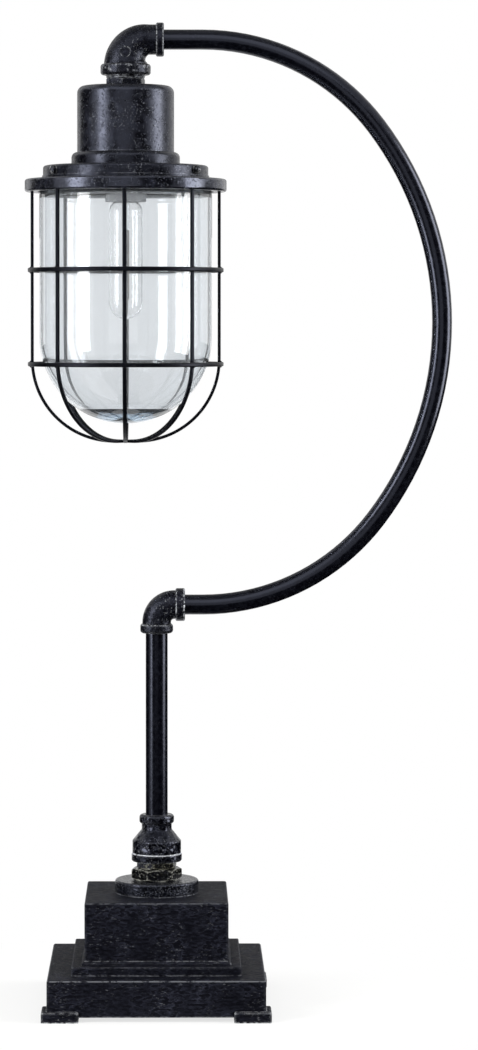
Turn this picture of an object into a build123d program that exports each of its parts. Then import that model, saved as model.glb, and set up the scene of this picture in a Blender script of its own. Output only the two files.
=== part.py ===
"""Iron-pipe desk lamp: stepped base, pipe fittings, C-shaped arm, caged glass jar. Millimetres, +Z up.

The origin is on the table, under the middle of the base. The arm and the head lie in the XZ plane,
and -Y is the front.
"""
from math import cos, radians, sin

import os

from build123d import *

# Clearances
THREAD_GAP = 0.05  # radial room in a screwed or pushed joint
SEAT_GAP = 0.05  # end room where a turning piece bears on a fixed one
SLIP_GAP = 0.4  # radial room of the cage's neck in the collar
LEAD_GAP = 0.3  # room between two lead ends at a swivel

# Base
PLINTH_WIDTH = 139.0
PLINTH_BOTTOM = 3.0
PLINTH_HEIGHT = 23.5
PLINTH_EDGE = 1.6
FOOT_WIDTH = 23.7
FOOT_HEIGHT = 6.8
FOOT_PROUD = 3.5
FOOT_EDGE = 1.2
STEP_WIDTH = 108.5
STEP_HEIGHT = 5.8
STEP_EDGE = 1.0
BEAD_HEIGHT = 2.0
BEAD_ROUND = 1.8
BLOCK_WIDTH = 92.0
BLOCK_HEIGHT = 37.7
BLOCK_EDGE = 1.3
CAVITY_SHARE = 0.65
CAVITY_CEILING = 6.5
COVER_LEDGE = 3.0
COVER_THICK = 2.0
COVER_ROOM = 0.3
BALLAST_ROOM = 3.0
BALLAST_THICK = 8.0
BALLAST_HOLE_SHARE = 0.26
SCREW_RADIUS = 1.5
SCREW_LENGTH = 10.0
SCREW_HEAD_RADIUS = 3.0
SCREW_HEAD_HEIGHT = 1.5
INLET_RADIUS = 3.3
INLET_HEIGHT = 11.0
BUSHING_RADIUS = 5.0
BUSHING_LENGTH = 8.0
BUSHING_RIM_RADIUS = 6.5
BUSHING_RIM = 1.5
TERMINAL_WIDTH = 22.0
TERMINAL_DEPTH = 14.0
TERMINAL_HEIGHT = 5.8

# Tie rod through the base
ROD_RADIUS = 5.0
ROD_BORE = 3.5
ROD_BELOW_NUT = 1.0
ROD_NUT_CORNERS = 17.0
ROD_NUT_HEIGHT = 3.8
WASHER_RADIUS = 12.0
WASHER_THICK = 1.2

# Fittings on the block
FLANGE_RADIUS = 27.15
FLANGE_HEIGHT = 8.5
FLANGE_EDGE = 1.4
LOCK_NUT_CORNERS = 33.0
LOCK_NUT_HEIGHT = 7.5
LOCK_NUT_TURN = 8.0
BUSH_HEX_CORNERS = 27.6
BUSH_HEX_HEIGHT = 4.5
BUSH_HEX_TURN = 22.0
BUSH_LOWER_RADIUS = 9.0
BUSH_LOWER_LENGTH = 12.0
BUSH_UPPER_RADIUS = 10.9
BUSH_UPPER_LENGTH = 8.4
ROD_TOP_BELOW_BUSH = 2.0
BELL_HEIGHT = 30.3
BELL_BAND_RADIUS = 16.35
BELL_BAND_HEIGHT = 5.1
BELL_BODY_RADIUS = 15.8
BELL_BODY_HEIGHT = 13.2
BELL_FLARE_HEIGHT = 7.4
BELL_NECK_RADIUS = 9.75
BELL_TOP_RADIUS = 11.25
BELL_TOP_HEIGHT = 6.0
BELL_FLARE_ROUND = 1.5
BELL_BORE = 6.0
BELL_SOCKET_DEPTH = 10.0
BAND_ROUND = 1.1
BULGE_ROUND = 1.9

# Upright and arm
UPRIGHT_RADIUS = 7.15
UPRIGHT_BORE = 5.6
ARM_RADIUS = 6.5
ARM_BORE = 5.0
ARM_LOWER_HEIGHT = 259.2
ARM_RISE = 366.2
ARM_REACH = 185.2
ARM_STRAIGHT_END = 30.0
ARM_END_TURN = 52.8
LEAD_RADIUS = 2.0
LEAD_BEND = 6.0

# Lower elbow
LOWER_REACH = 18.4
LOWER_BODY_RADIUS = 9.3
LOWER_BEND = 11.4
LOWER_BAND_RADIUS = 10.65
LOWER_BAND_LENGTH = 6.2
LOWER_SOCKET_DEPTH = 8.0

# Upper reducing elbow
HEAD_OFFSET = -20.0
UPPER_SIDE_REACH = 24.8
UPPER_SIDE_RADIUS = 9.75
UPPER_SIDE_BAND_RADIUS = 11.0
UPPER_SIDE_BAND_LENGTH = 5.2
UPPER_SIDE_SOCKET = 8.0
UPPER_DOWN_REACH = 23.0
UPPER_DOWN_RADIUS = 14.0
UPPER_DOWN_BAND_RADIUS = 16.25
UPPER_DOWN_BAND_LENGTH = 7.2
UPPER_DOWN_SOCKET = 8.0
UPPER_BEND = 15.0
CAST_PAD_RADIUS = 3.6
CAST_PAD_DROP = 8.6
CAST_PAD_PROUD = 0.5

# Neck and lamp cup
NIPPLE_SPIGOT_RADIUS = 10.0
NIPPLE_COLLAR_RADIUS = 12.35
NIPPLE_COLLAR_HEIGHT = 1.9
NIPPLE_TAIL_RADIUS = 8.5
NIPPLE_TAIL_BELOW = 1.2
NECK_NUT_CORNERS = 26.7
NECK_NUT_HEIGHT = 5.1
NECK_NUT_TURN = 21.0
INNER_NUT_CORNERS = 24.0
INNER_NUT_HEIGHT = 5.0
CUP_RADIUS = 31.35
CUP_HEIGHT = 42.9
CUP_WALL = 1.5
CUP_ROUND = 4.6

# Gallery: the spun plate under the cup, with the collar round its edge
GALLERY_WALL = 1.6
GALLERY_SLEEVE = 3.6
SKIRT_PROUD = 3.75
SKIRT_ROUND = 3.6
SKIRT_HEIGHT = 8.7
COLLAR_INSET = 11.85
COLLAR_HEIGHT = 8.7
COLLAR_WALL = 1.8
COLLAR_ROUND = 1.8
COLLAR_LIP_PROUD = 0.6
COLLAR_LIP_HEIGHT = 2.2

# Collar screws
COLLAR_SCREW_ANGLES = (-90.0 - 57.0, -90.0 + 57.0, 90.0)
COLLAR_SCREW_ROOM = 0.2
COLLAR_SCREW_RADIUS = 1.45
COLLAR_HEAD_RADIUS = 2.7
COLLAR_HEAD_HEIGHT = 3.8
COLLAR_HEAD_ROUND = 1.2

# Glass ring and cage
RING_NECK_WALL = 4.3
RING_NECK_TOP_ROOM = 0.4
RING_PLATE_INSET = 4.35
RING_PLATE_THICK = 2.4
CAGE_FLANGE_RADIUS = 65.35
CAGE_FLANGE_HEIGHT = 8.1
CAGE_FLANGE_WIDTH = 8.35
CAGE_FLANGE_ROUND = 1.5
RING_SCREW_INSET = 6.25
RING_SCREW_COUNT = 4
RING_SCREW_LENGTH = 6.0
RING_SCREW_RADIUS = 1.1
RING_SCREW_HEAD_RADIUS = 1.8
RING_SCREW_HEAD_HEIGHT = 0.9
RIB_COUNT = 8
RIB_INSET = 4.75
RIB_WIDTH = 2.7
RIB_THICK = 2.0
RIB_ROUND = 0.8
RIB_FLAT = 7.6
RIB_STRAIGHT = 108.5
HOOP_HEIGHT = 2.8
HOOP_THICK = 1.8
HOOP_ROUND = 0.7
UPPER_HOOP_DROP = 50.6
LOWER_HOOP_DROP = 111.5

# Glass jar
JAR_CAGE_GAP = 1.0
JAR_WALL = 3.0
JAR_BOTTOM = 8.7
JAR_FLOOR_ROUND = 150.0
JAR_FLOOR_GAP = 11.5
JAR_SHOULDER_ROUND = 5.0
JAR_NECK_GAP = 0.6
JAR_NECK_HEIGHT = 9.0
JAR_NECK_WALL = 3.2
GASKET_THICK = 3.3
GASKET_WIDTH = 3.4

# Lampholder and bulb
STEM_RADIUS = 5.0
STEM_IN_NIPPLE = 12.0
HOLDER_RADIUS = 13.3
HOLDER_BELOW_GALLERY = 34.0
HOLDER_ABOVE_GALLERY = 12.0
HOLDER_LEDGE_RADIUS = 16.0
HOLDER_LEDGE_HEIGHT = 2.2
HOLDER_MOUTH_RADIUS = 11.8
HOLDER_MOUTH_DEPTH = 5.0
HOLDER_STEM_DEPTH = 6.0
HOLDER_LEAD_DEPTH = 11.0
SHADE_RING_RADIUS = 17.0
SHADE_RING_HEIGHT = 3.0
SLEEVE_WALL = 0.5
SLEEVE_HEIGHT = 22.0
CONTACT_RADIUS = 4.0
CONTACT_THICK = 0.6
CAP_RADIUS = 6.9
CAP_GAP = 0.2
CAP_WALL = 0.5
CAP_HEIGHT = 18.5
CAP_CONE_HEIGHT = 2.6
CAP_CONE_RADIUS = 3.6
TIP_RADIUS = 2.4
TIP_HEIGHT = 1.2
TIP_GAP = 0.15
BULB_RADIUS = 11.0
BULB_WALL = 0.8
BULB_LENGTH = 80.0
BULB_NECK_RADIUS = 6.3
BULB_NECK_IN_CAP = 4.0
BULB_SHOULDER_HEIGHT = 10.0
STEM_GLASS_RADIUS = 2.6
STEM_GLASS_LENGTH = 26.0
FILAMENT_RADIUS = 0.35
FILAMENT_HALF_SPAN = 1.9
FILAMENT_LENGTH = 46.0

# Radii of the head, from the cage flange inwards
COLLAR_RADIUS = CAGE_FLANGE_RADIUS - COLLAR_INSET
COLLAR_LIP_RADIUS = COLLAR_RADIUS + COLLAR_LIP_PROUD
RING_PLATE_RADIUS = CAGE_FLANGE_RADIUS - RING_PLATE_INSET
RING_SCREW_CIRCLE = CAGE_FLANGE_RADIUS - RING_SCREW_INSET
RIB_CIRCLE = CAGE_FLANGE_RADIUS - RIB_INSET
RIB_DOME_RADIUS = RIB_CIRCLE - RIB_FLAT
CAGE_FLANGE_BORE = CAGE_FLANGE_RADIUS - CAGE_FLANGE_WIDTH
JAR_RADIUS = CAGE_FLANGE_BORE - JAR_CAGE_GAP

# Heights that follow, from the table up
PLINTH_TOP = PLINTH_BOTTOM + PLINTH_HEIGHT
CAVITY_TOP = PLINTH_TOP - CAVITY_CEILING
COVER_TOP = PLINTH_BOTTOM + COVER_THICK
STEP_TOP = PLINTH_TOP + STEP_HEIGHT
BEAD_TOP = STEP_TOP + BEAD_HEIGHT
BLOCK_TOP = BEAD_TOP + BLOCK_HEIGHT
FLANGE_TOP = BLOCK_TOP + FLANGE_HEIGHT
LOCK_NUT_TOP = FLANGE_TOP + LOCK_NUT_HEIGHT
BUSH_HEX_TOP = LOCK_NUT_TOP + BUSH_HEX_HEIGHT
BUSH_TOP = BUSH_HEX_TOP + BUSH_UPPER_LENGTH
BUSH_BOTTOM = LOCK_NUT_TOP - BUSH_LOWER_LENGTH
BELL_TOP = BUSH_HEX_TOP + BELL_HEIGHT
BELL_SEAT = BELL_TOP - BELL_SOCKET_DEPTH
WASHER_BOTTOM = CAVITY_TOP - WASHER_THICK
ROD_NUT_BOTTOM = WASHER_BOTTOM - ROD_NUT_HEIGHT
ROD_BOTTOM = ROD_NUT_BOTTOM - ROD_BELOW_NUT
ROD_TOP = BUSH_TOP - ROD_TOP_BELOW_BUSH
LOWER_END = ARM_LOWER_HEIGHT - LOWER_REACH
LOWER_SEAT = LOWER_END + LOWER_SOCKET_DEPTH
UPRIGHT_TOP = LOWER_SEAT - SEAT_GAP

# Heights of the head, from the upper elbow down
ARM_UPPER_HEIGHT = ARM_LOWER_HEIGHT + ARM_RISE
UPPER_END = ARM_UPPER_HEIGHT - UPPER_DOWN_REACH
UPPER_SEAT = UPPER_END + UPPER_DOWN_SOCKET
NIPPLE_COLLAR_TOP = UPPER_END - SEAT_GAP
NIPPLE_TOP = UPPER_SEAT - SEAT_GAP
NECK_NUT_TOP = NIPPLE_COLLAR_TOP - NIPPLE_COLLAR_HEIGHT
CUP_TOP = NECK_NUT_TOP - NECK_NUT_HEIGHT
INNER_NUT_TOP = CUP_TOP - CUP_WALL
NIPPLE_BOTTOM = INNER_NUT_TOP - INNER_NUT_HEIGHT - NIPPLE_TAIL_BELOW
CUP_BOTTOM = CUP_TOP - CUP_HEIGHT
STEM_TOP = NIPPLE_BOTTOM + STEM_IN_NIPPLE
GALLERY_TOP = CUP_BOTTOM + GALLERY_SLEEVE
SKIRT_BOTTOM = CUP_BOTTOM - SKIRT_HEIGHT
COLLAR_BOTTOM = SKIRT_BOTTOM - COLLAR_HEIGHT
COLLAR_LIP_TOP = COLLAR_BOTTOM + COLLAR_LIP_HEIGHT
COLLAR_SCREW_HEIGHT = COLLAR_LIP_TOP + COLLAR_HEAD_RADIUS + COLLAR_SCREW_ROOM
RING_TOP = COLLAR_BOTTOM - SEAT_GAP
RING_PLATE_BOTTOM = RING_TOP - RING_PLATE_THICK
RING_NECK_TOP = SKIRT_BOTTOM - GALLERY_WALL - RING_NECK_TOP_ROOM
CAGE_FLANGE_BOTTOM = RING_TOP - CAGE_FLANGE_HEIGHT
RIB_DOME_HEIGHT = CAGE_FLANGE_BOTTOM - RIB_STRAIGHT
RIB_BOTTOM = RIB_DOME_HEIGHT - RIB_DOME_RADIUS
JAR_SHOULDER = RING_PLATE_BOTTOM - GASKET_THICK
JAR_NECK_TOP = JAR_SHOULDER + JAR_NECK_HEIGHT
JAR_LOWEST = RIB_BOTTOM + JAR_FLOOR_GAP
HOLDER_RIM = GALLERY_TOP - GALLERY_WALL - HOLDER_BELOW_GALLERY
HOLDER_TOP = GALLERY_TOP + HOLDER_ABOVE_GALLERY
HOLDER_STEM_SEAT = HOLDER_TOP - HOLDER_STEM_DEPTH
HOLDER_LEAD_SEAT = HOLDER_TOP - HOLDER_LEAD_DEPTH
SLEEVE_BOTTOM = HOLDER_RIM + HOLDER_MOUTH_DEPTH
SLEEVE_TOP = SLEEVE_BOTTOM + SLEEVE_HEIGHT
CONTACT_BOTTOM = SLEEVE_TOP - CONTACT_THICK
TIP_TOP = CONTACT_BOTTOM - TIP_GAP
CAP_TOP = TIP_TOP - TIP_HEIGHT
CAP_SHOULDER = CAP_TOP - CAP_CONE_HEIGHT
CAP_BOTTOM = CAP_SHOULDER - CAP_HEIGHT
BULB_NECK_TOP = CAP_BOTTOM + BULB_NECK_IN_CAP
BULB_SHOULDER_TOP = CAP_BOTTOM
BULB_SHOULDER = BULB_SHOULDER_TOP - BULB_SHOULDER_HEIGHT
BULB_LOWEST = CAP_BOTTOM - BULB_LENGTH
STEM_GLASS_TOP = BULB_NECK_TOP
STEM_GLASS_BOTTOM = STEM_GLASS_TOP - STEM_GLASS_LENGTH

# Radii that follow
SPIGOT_FIT = NIPPLE_SPIGOT_RADIUS + THREAD_GAP
CUP_INNER_RADIUS = CUP_RADIUS - CUP_WALL
SKIRT_RADIUS = CUP_RADIUS + SKIRT_PROUD
COLLAR_INNER_RADIUS = COLLAR_RADIUS - COLLAR_WALL
RING_NECK_RADIUS = COLLAR_INNER_RADIUS - SLIP_GAP
RING_BORE = RING_NECK_RADIUS - RING_NECK_WALL
JAR_NECK_RADIUS = RING_BORE - JAR_NECK_GAP
HOOP_INNER_RADIUS = RIB_CIRCLE + RIB_THICK / 2 + THREAD_GAP
SLEEVE_INNER_RADIUS = CAP_RADIUS + CAP_GAP
SLEEVE_RADIUS = SLEEVE_INNER_RADIUS + SLEEVE_WALL

# Widths that follow
CAVITY_WIDTH = PLINTH_WIDTH * CAVITY_SHARE
COVER_WIDTH = CAVITY_WIDTH + 2 * COVER_LEDGE
BALLAST_WIDTH = CAVITY_WIDTH - 2 * BALLAST_ROOM
BALLAST_HOLE = BALLAST_WIDTH * BALLAST_HOLE_SHARE
TERMINAL_FRONT = BALLAST_WIDTH / 2 - TERMINAL_DEPTH

# The arm's curve: two end arcs and a wider middle arc, tangent to each other.
# Half its rise is end * (1 - cos) + middle * cos, and its bow's reach is end * sin + middle * (1 - sin).
# The two radii are worked out from these.
ARM_MIDDLE_TURN = 180.0 - 2 * ARM_END_TURN
TURN_SIN = sin(radians(ARM_END_TURN))
TURN_COS = cos(radians(ARM_END_TURN))
BOW_REACH = ARM_REACH - ARM_STRAIGHT_END
ARM_END_RADIUS = (BOW_REACH * TURN_COS - ARM_RISE / 2 * (1 - TURN_SIN)) / (TURN_SIN + TURN_COS - 1)
ARM_MIDDLE_RADIUS = (ARM_RISE / 2 - ARM_END_RADIUS * (1 - TURN_COS)) / TURN_COS
ARM_START = LOWER_REACH - LOWER_SOCKET_DEPTH
ARM_FINISH = HEAD_OFFSET + UPPER_SIDE_REACH - UPPER_SIDE_SOCKET


def turned(*outline):
    """A solid of revolution about Z from an outline of (radius, height) points."""
    return revolve(Plane.XZ * make_face(Polyline(*outline, close=True)), Axis.Z)


def tube(radius, bore, bottom, top):
    """A plain tube about Z."""
    return turned((bore, bottom), (radius, bottom), (radius, top), (bore, top))


def rod(radius, bottom, top):
    """A plain round bar about Z."""
    return Pos(0, 0, bottom) * Cylinder(radius, top - bottom, align=(Align.CENTER, Align.CENTER, Align.MIN))


def slab(width, bottom, top):
    """A square slab, centred on Z."""
    return Pos(0, 0, bottom) * Box(width, width, top - bottom, align=(Align.CENTER, Align.CENTER, Align.MIN))


def rims(solid, radius, height):
    """The round edges of a turned solid at one radius and height."""
    near = 1e-4
    return [
        edge
        for edge in solid.edges().filter_by(GeomType.CIRCLE)
        if abs(edge.radius - radius) < near and abs(edge.arc_center.Z - height) < near
    ]


def rounded_rod(radius, bottom, top, round_radius):
    """A round bar with both rims rounded, as on a cast band."""
    bar = rod(radius, bottom, top)
    return fillet(rims(bar, radius, bottom) + rims(bar, radius, top), round_radius)


def hex_nut(corners, bottom, top, bore, turn=0.0):
    """A hex nut about Z with its corners turned off at both ends."""
    half = corners / 2
    flat = half * cos(radians(30))
    bevel = (half - flat) * sin(radians(30)) / cos(radians(30))
    prism = extrude(Pos(0, 0, bottom) * RegularPolygon(half, 6, rotation=turn), top - bottom)
    barrel = turned(
        (bore, bottom),
        (flat, bottom),
        (half, bottom + bevel),
        (half, top - bevel),
        (flat, top),
        (bore, top),
    )
    return prism & barrel


def countersunk_screw(radius, length, head_radius, head_height):
    """A countersunk screw: its flat head lies at z = 0 and its shank points up."""
    return turned(
        (0, 0),
        (head_radius, 0),
        (radius, head_height),
        (radius, length),
        (0, length),
    )


def at_head(solid):
    """Move a piece modelled about Z to the head's axis."""
    return Pos(HEAD_OFFSET, 0, 0) * solid


def four_corners(distance):
    """The four places at a distance from the centre along X and Y."""
    return [Pos(x, y, 0) for x in (-distance, distance) for y in (-distance, distance)]


# Base

FOOT_CENTRE = PLINTH_WIDTH / 2 + FOOT_PROUD - FOOT_WIDTH / 2
BUSHING_END = PLINTH_WIDTH / 2 - BUSHING_LENGTH
LEAD_LEVEL = CAVITY_TOP - BALLAST_THICK - TERMINAL_HEIGHT / 2


def foot_screw():
    return Pos(0, 0, PLINTH_BOTTOM - SCREW_HEAD_HEIGHT) * countersunk_screw(
        SCREW_RADIUS, SCREW_LENGTH, SCREW_HEAD_RADIUS, SCREW_HEAD_HEIGHT
    )


def foot_screw_hole():
    """Room for a foot screw in the foot and the plinth, open at the foot's underside."""
    head_bottom = PLINTH_BOTTOM - SCREW_HEAD_HEIGHT
    head_room = SCREW_HEAD_RADIUS + THREAD_GAP
    screw_room = countersunk_screw(SCREW_RADIUS + THREAD_GAP, SCREW_LENGTH, head_room, SCREW_HEAD_HEIGHT)
    return Pos(0, 0, head_bottom) * screw_room + rod(head_room, 0, head_bottom)


def plinth_block():
    """The plinth before its cavity is cut: a slab with softened edges."""
    block = slab(PLINTH_WIDTH, PLINTH_BOTTOM, PLINTH_TOP)
    return fillet(block.edges().filter_by(Axis.Z) + block.faces().sort_by(Axis.Z)[-1].edges(), PLINTH_EDGE)


def plinth():
    """The plinth, hollow from below for the ballast, the terminal block and the tie rod's nut."""
    body = plinth_block()
    body -= slab(CAVITY_WIDTH, PLINTH_BOTTOM, CAVITY_TOP)
    body -= slab(COVER_WIDTH + 2 * COVER_ROOM, PLINTH_BOTTOM, COVER_TOP)
    body -= rod(ROD_RADIUS + THREAD_GAP, PLINTH_BOTTOM, PLINTH_TOP)
    inlet = Pos(0, PLINTH_WIDTH / 2, INLET_HEIGHT) * Rot(90, 0, 0) * Cylinder(
        BUSHING_RADIUS + THREAD_GAP, PLINTH_WIDTH / 2, align=(Align.CENTER, Align.CENTER, Align.MIN)
    )
    body -= inlet
    for place in four_corners(FOOT_CENTRE):
        body -= place * foot_screw_hole()
    return body


def corner_feet():
    """Four feet that cup the plinth's corners."""
    blank = slab(FOOT_WIDTH, 0, FOOT_HEIGHT)
    blank = fillet(blank.edges().filter_by(Axis.Z) + blank.faces().sort_by(Axis.Z)[-1].edges(), FOOT_EDGE)
    blank -= foot_screw_hole()
    feet = [place * blank - plinth_block() for place in four_corners(FOOT_CENTRE)]
    return Compound(children=[foot.solid() for foot in feet])


def step_moulding():
    """The slab between plinth and block, with a quarter-round up to the block."""
    step = slab(STEP_WIDTH, PLINTH_TOP, STEP_TOP)
    step = fillet(step.edges().filter_by(Axis.Z) + step.faces().sort_by(Axis.Z)[-1].edges(), STEP_EDGE)
    bead = slab(BLOCK_WIDTH + 2 * BEAD_HEIGHT, STEP_TOP, BEAD_TOP)
    bead = fillet(bead.faces().sort_by(Axis.Z)[-1].edges(), BEAD_ROUND)
    return step + bead - rod(ROD_RADIUS + THREAD_GAP, PLINTH_TOP, BEAD_TOP)


def pedestal_block():
    block = slab(BLOCK_WIDTH, BEAD_TOP, BLOCK_TOP)
    block = fillet(block.edges().filter_by(Axis.Z) + block.faces().sort_by(Axis.Z)[-1].edges(), BLOCK_EDGE)
    return block - rod(ROD_RADIUS + THREAD_GAP, BEAD_TOP, BLOCK_TOP)


def ballast_plate():
    """A square steel plate under the plinth's ceiling, open in the middle for the nut and the lead."""
    plate = slab(BALLAST_WIDTH, CAVITY_TOP - BALLAST_THICK, CAVITY_TOP)
    return plate - rod(BALLAST_HOLE, CAVITY_TOP - BALLAST_THICK, CAVITY_TOP)


def cord_bushing():
    """The inlet's bushing at the back of the plinth: a rim outside and a sleeve in the hole."""
    sleeve = tube(BUSHING_RADIUS, INLET_RADIUS, 0, BUSHING_LENGTH)
    rim = tube(BUSHING_RIM_RADIUS, INLET_RADIUS, BUSHING_LENGTH, BUSHING_LENGTH + BUSHING_RIM)
    return Pos(0, BUSHING_END, INLET_HEIGHT) * Rot(-90, 0, 0) * (sleeve + rim)


def terminal_block():
    top = CAVITY_TOP - BALLAST_THICK
    return Pos(0, TERMINAL_FRONT, top) * Box(
        TERMINAL_WIDTH, TERMINAL_DEPTH, TERMINAL_HEIGHT, align=(Align.CENTER, Align.MIN, Align.MAX)
    )


def base_lead():
    """From the terminal block along the cavity, round into the tie rod and up to the swivel."""
    start = (0, TERMINAL_FRONT, LEAD_LEVEL)
    run = Line(start, (0, LEAD_BEND, LEAD_LEVEL))
    bend = ThreePointArc(
        (0, LEAD_BEND, LEAD_LEVEL),
        (0, LEAD_BEND * (1 - sin(radians(45))), LEAD_LEVEL + LEAD_BEND * (1 - cos(radians(45)))),
        (0, 0, LEAD_LEVEL + LEAD_BEND),
    )
    rise = Line((0, 0, LEAD_LEVEL + LEAD_BEND), (0, 0, LOWER_END))
    section = Plane(origin=start, z_dir=(0, -1, 0)) * Circle(LEAD_RADIUS)
    return sweep(section, Wire([run.edge(), bend.edge(), rise.edge()]))


# Fittings on the block

def floor_flange():
    disc = tube(FLANGE_RADIUS, BUSH_LOWER_RADIUS + THREAD_GAP, BLOCK_TOP, FLANGE_TOP)
    return fillet(rims(disc, FLANGE_RADIUS, FLANGE_TOP), FLANGE_EDGE)


def lock_nut():
    bore = BUSH_LOWER_RADIUS + THREAD_GAP
    return hex_nut(LOCK_NUT_CORNERS, FLANGE_TOP, LOCK_NUT_TOP, bore, LOCK_NUT_TURN)


def hex_bushing():
    """Hex body with a threaded spigot at each end, bored for the tie rod."""
    bore = ROD_RADIUS + THREAD_GAP
    hexagon = hex_nut(BUSH_HEX_CORNERS, LOCK_NUT_TOP, BUSH_HEX_TOP, bore, BUSH_HEX_TURN)
    lower = tube(BUSH_LOWER_RADIUS, bore, BUSH_BOTTOM, LOCK_NUT_TOP)
    upper = tube(BUSH_UPPER_RADIUS, bore, BUSH_HEX_TOP, BUSH_TOP)
    return hexagon + lower + upper


def bell_reducer():
    """Cast bell reducer: a wide band, a bell that flares in to a neck, and a narrow band."""
    base = BUSH_HEX_TOP
    bell_shoulder = base + BELL_BODY_HEIGHT
    profile = make_face(
        Polyline(
            (0, base),
            (BELL_BODY_RADIUS, base),
            (BELL_BODY_RADIUS, bell_shoulder),
            (BELL_NECK_RADIUS, bell_shoulder + BELL_FLARE_HEIGHT),
            (BELL_NECK_RADIUS, BELL_TOP),
            (0, BELL_TOP),
            close=True,
        )
    )
    flare = [
        point
        for point in profile.vertices()
        if bell_shoulder - 0.01 < point.Y < bell_shoulder + BELL_FLARE_HEIGHT + 0.01
    ]
    profile = fillet(flare, BELL_FLARE_ROUND)
    body = revolve(Plane.XZ * profile, Axis.Z)
    body += rounded_rod(BELL_BAND_RADIUS, base, base + BELL_BAND_HEIGHT, BAND_ROUND)
    body += rounded_rod(BELL_TOP_RADIUS, BELL_TOP - BELL_TOP_HEIGHT, BELL_TOP, BULGE_ROUND)
    body -= rod(BUSH_UPPER_RADIUS + THREAD_GAP, base, BUSH_TOP)
    body -= rod(BELL_BORE, base, BELL_TOP)
    body -= rod(UPRIGHT_RADIUS + THREAD_GAP, BELL_SEAT, BELL_TOP)
    return body


# Elbows and arm

def quarter_bend(bend, side_radius, down_radius):
    """A pipe bend from +X to -Z about the crossing of its two axes, tapering between its ends."""
    middle = bend * (1 - sin(radians(45)))
    path = ThreePointArc((bend, 0, 0), (middle, 0, -middle), (0, 0, -bend))
    side = Plane(origin=(bend, 0, 0), x_dir=(0, 1, 0), z_dir=(-1, 0, 0)) * Circle(side_radius)
    down = Plane(origin=(0, 0, -bend), x_dir=(0, 1, 0), z_dir=(0, 0, -1)) * Circle(down_radius)
    return sweep([side, down], path, multisection=True)


def along_x(solid):
    """Turn a piece modelled about Z so that its +Z end points along +X."""
    return Rot(0, 90, 0) * solid


def elbow(bend, side, down, passage):
    """A cast elbow about the crossing of its axes: a crisp band at +X and a bulging one at -Z.

    side and down each give an outlet's (reach, leg radius, band radius, band length, bore, socket depth).
    """
    side_reach, side_leg, side_band, side_length, side_bore, side_depth = side
    down_reach, down_leg, down_band, down_length, down_bore, down_depth = down
    body = quarter_bend(bend, side_leg, down_leg)
    body += along_x(rod(side_leg, bend, side_reach))
    body += along_x(rounded_rod(side_band, side_reach - side_length, side_reach, BAND_ROUND))
    body += rod(down_leg, -down_reach, -bend)
    body += rounded_rod(down_band, -down_reach, -down_reach + down_length, BULGE_ROUND)
    body -= quarter_bend(bend, passage, passage)
    body -= along_x(rod(passage, bend, side_reach))
    body -= rod(passage, -down_reach, -bend)
    body -= along_x(rod(side_bore, side_reach - side_depth, side_reach))
    body -= rod(down_bore, -down_reach, -down_reach + down_depth)
    return body


def lower_elbow():
    """Equal elbow that turns on the upright's top end and holds the arm."""
    outlet = (LOWER_REACH, LOWER_BODY_RADIUS, LOWER_BAND_RADIUS, LOWER_BAND_LENGTH)
    shape = elbow(
        LOWER_BEND,
        outlet + (ARM_RADIUS + THREAD_GAP, LOWER_SOCKET_DEPTH),
        outlet + (UPRIGHT_RADIUS + THREAD_GAP, LOWER_SOCKET_DEPTH),
        ARM_BORE,
    )
    return Pos(0, 0, ARM_LOWER_HEIGHT) * shape


def upper_elbow():
    """Reducing elbow from the arm to the head, with a plain cast pad on its front."""
    side = (UPPER_SIDE_REACH, UPPER_SIDE_RADIUS, UPPER_SIDE_BAND_RADIUS, UPPER_SIDE_BAND_LENGTH)
    down = (UPPER_DOWN_REACH, UPPER_DOWN_RADIUS, UPPER_DOWN_BAND_RADIUS, UPPER_DOWN_BAND_LENGTH)
    shape = elbow(
        UPPER_BEND,
        side + (ARM_RADIUS + THREAD_GAP, UPPER_SIDE_SOCKET),
        down + (SPIGOT_FIT, UPPER_DOWN_SOCKET),
        ARM_BORE,
    )
    pad = Pos(0, 0, -CAST_PAD_DROP) * Rot(90, 0, 0) * rod(
        CAST_PAD_RADIUS, UPPER_SIDE_RADIUS, UPPER_DOWN_RADIUS - CAST_PAD_PROUD
    )
    return Pos(HEAD_OFFSET, 0, ARM_UPPER_HEIGHT) * (shape + pad)


def arm_curve(start, finish):
    """The arm's centreline from one X on the lower run to another on the upper run."""
    lower = Line((start, ARM_LOWER_HEIGHT), (ARM_STRAIGHT_END, ARM_LOWER_HEIGHT))
    first = JernArc(lower @ 1, lower % 1, ARM_END_RADIUS, ARM_END_TURN)
    middle = JernArc(first @ 1, first % 1, ARM_MIDDLE_RADIUS, ARM_MIDDLE_TURN)
    last = JernArc(middle @ 1, middle % 1, ARM_END_RADIUS, ARM_END_TURN)
    upper = Line(last @ 1, (finish, ARM_UPPER_HEIGHT))
    return [(Plane.XZ * part).edge() for part in (lower, first, middle, last, upper)]


def arm_sweep(radius):
    section = Plane(origin=(ARM_START, 0, ARM_LOWER_HEIGHT), z_dir=(1, 0, 0)) * Circle(radius)
    return sweep(section, Wire(arm_curve(ARM_START, ARM_FINISH)))


def arm_pipe():
    """The bent pipe: straight at both ends, tightest near them, widest in the middle."""
    return arm_sweep(ARM_RADIUS) - arm_sweep(ARM_BORE)


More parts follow.
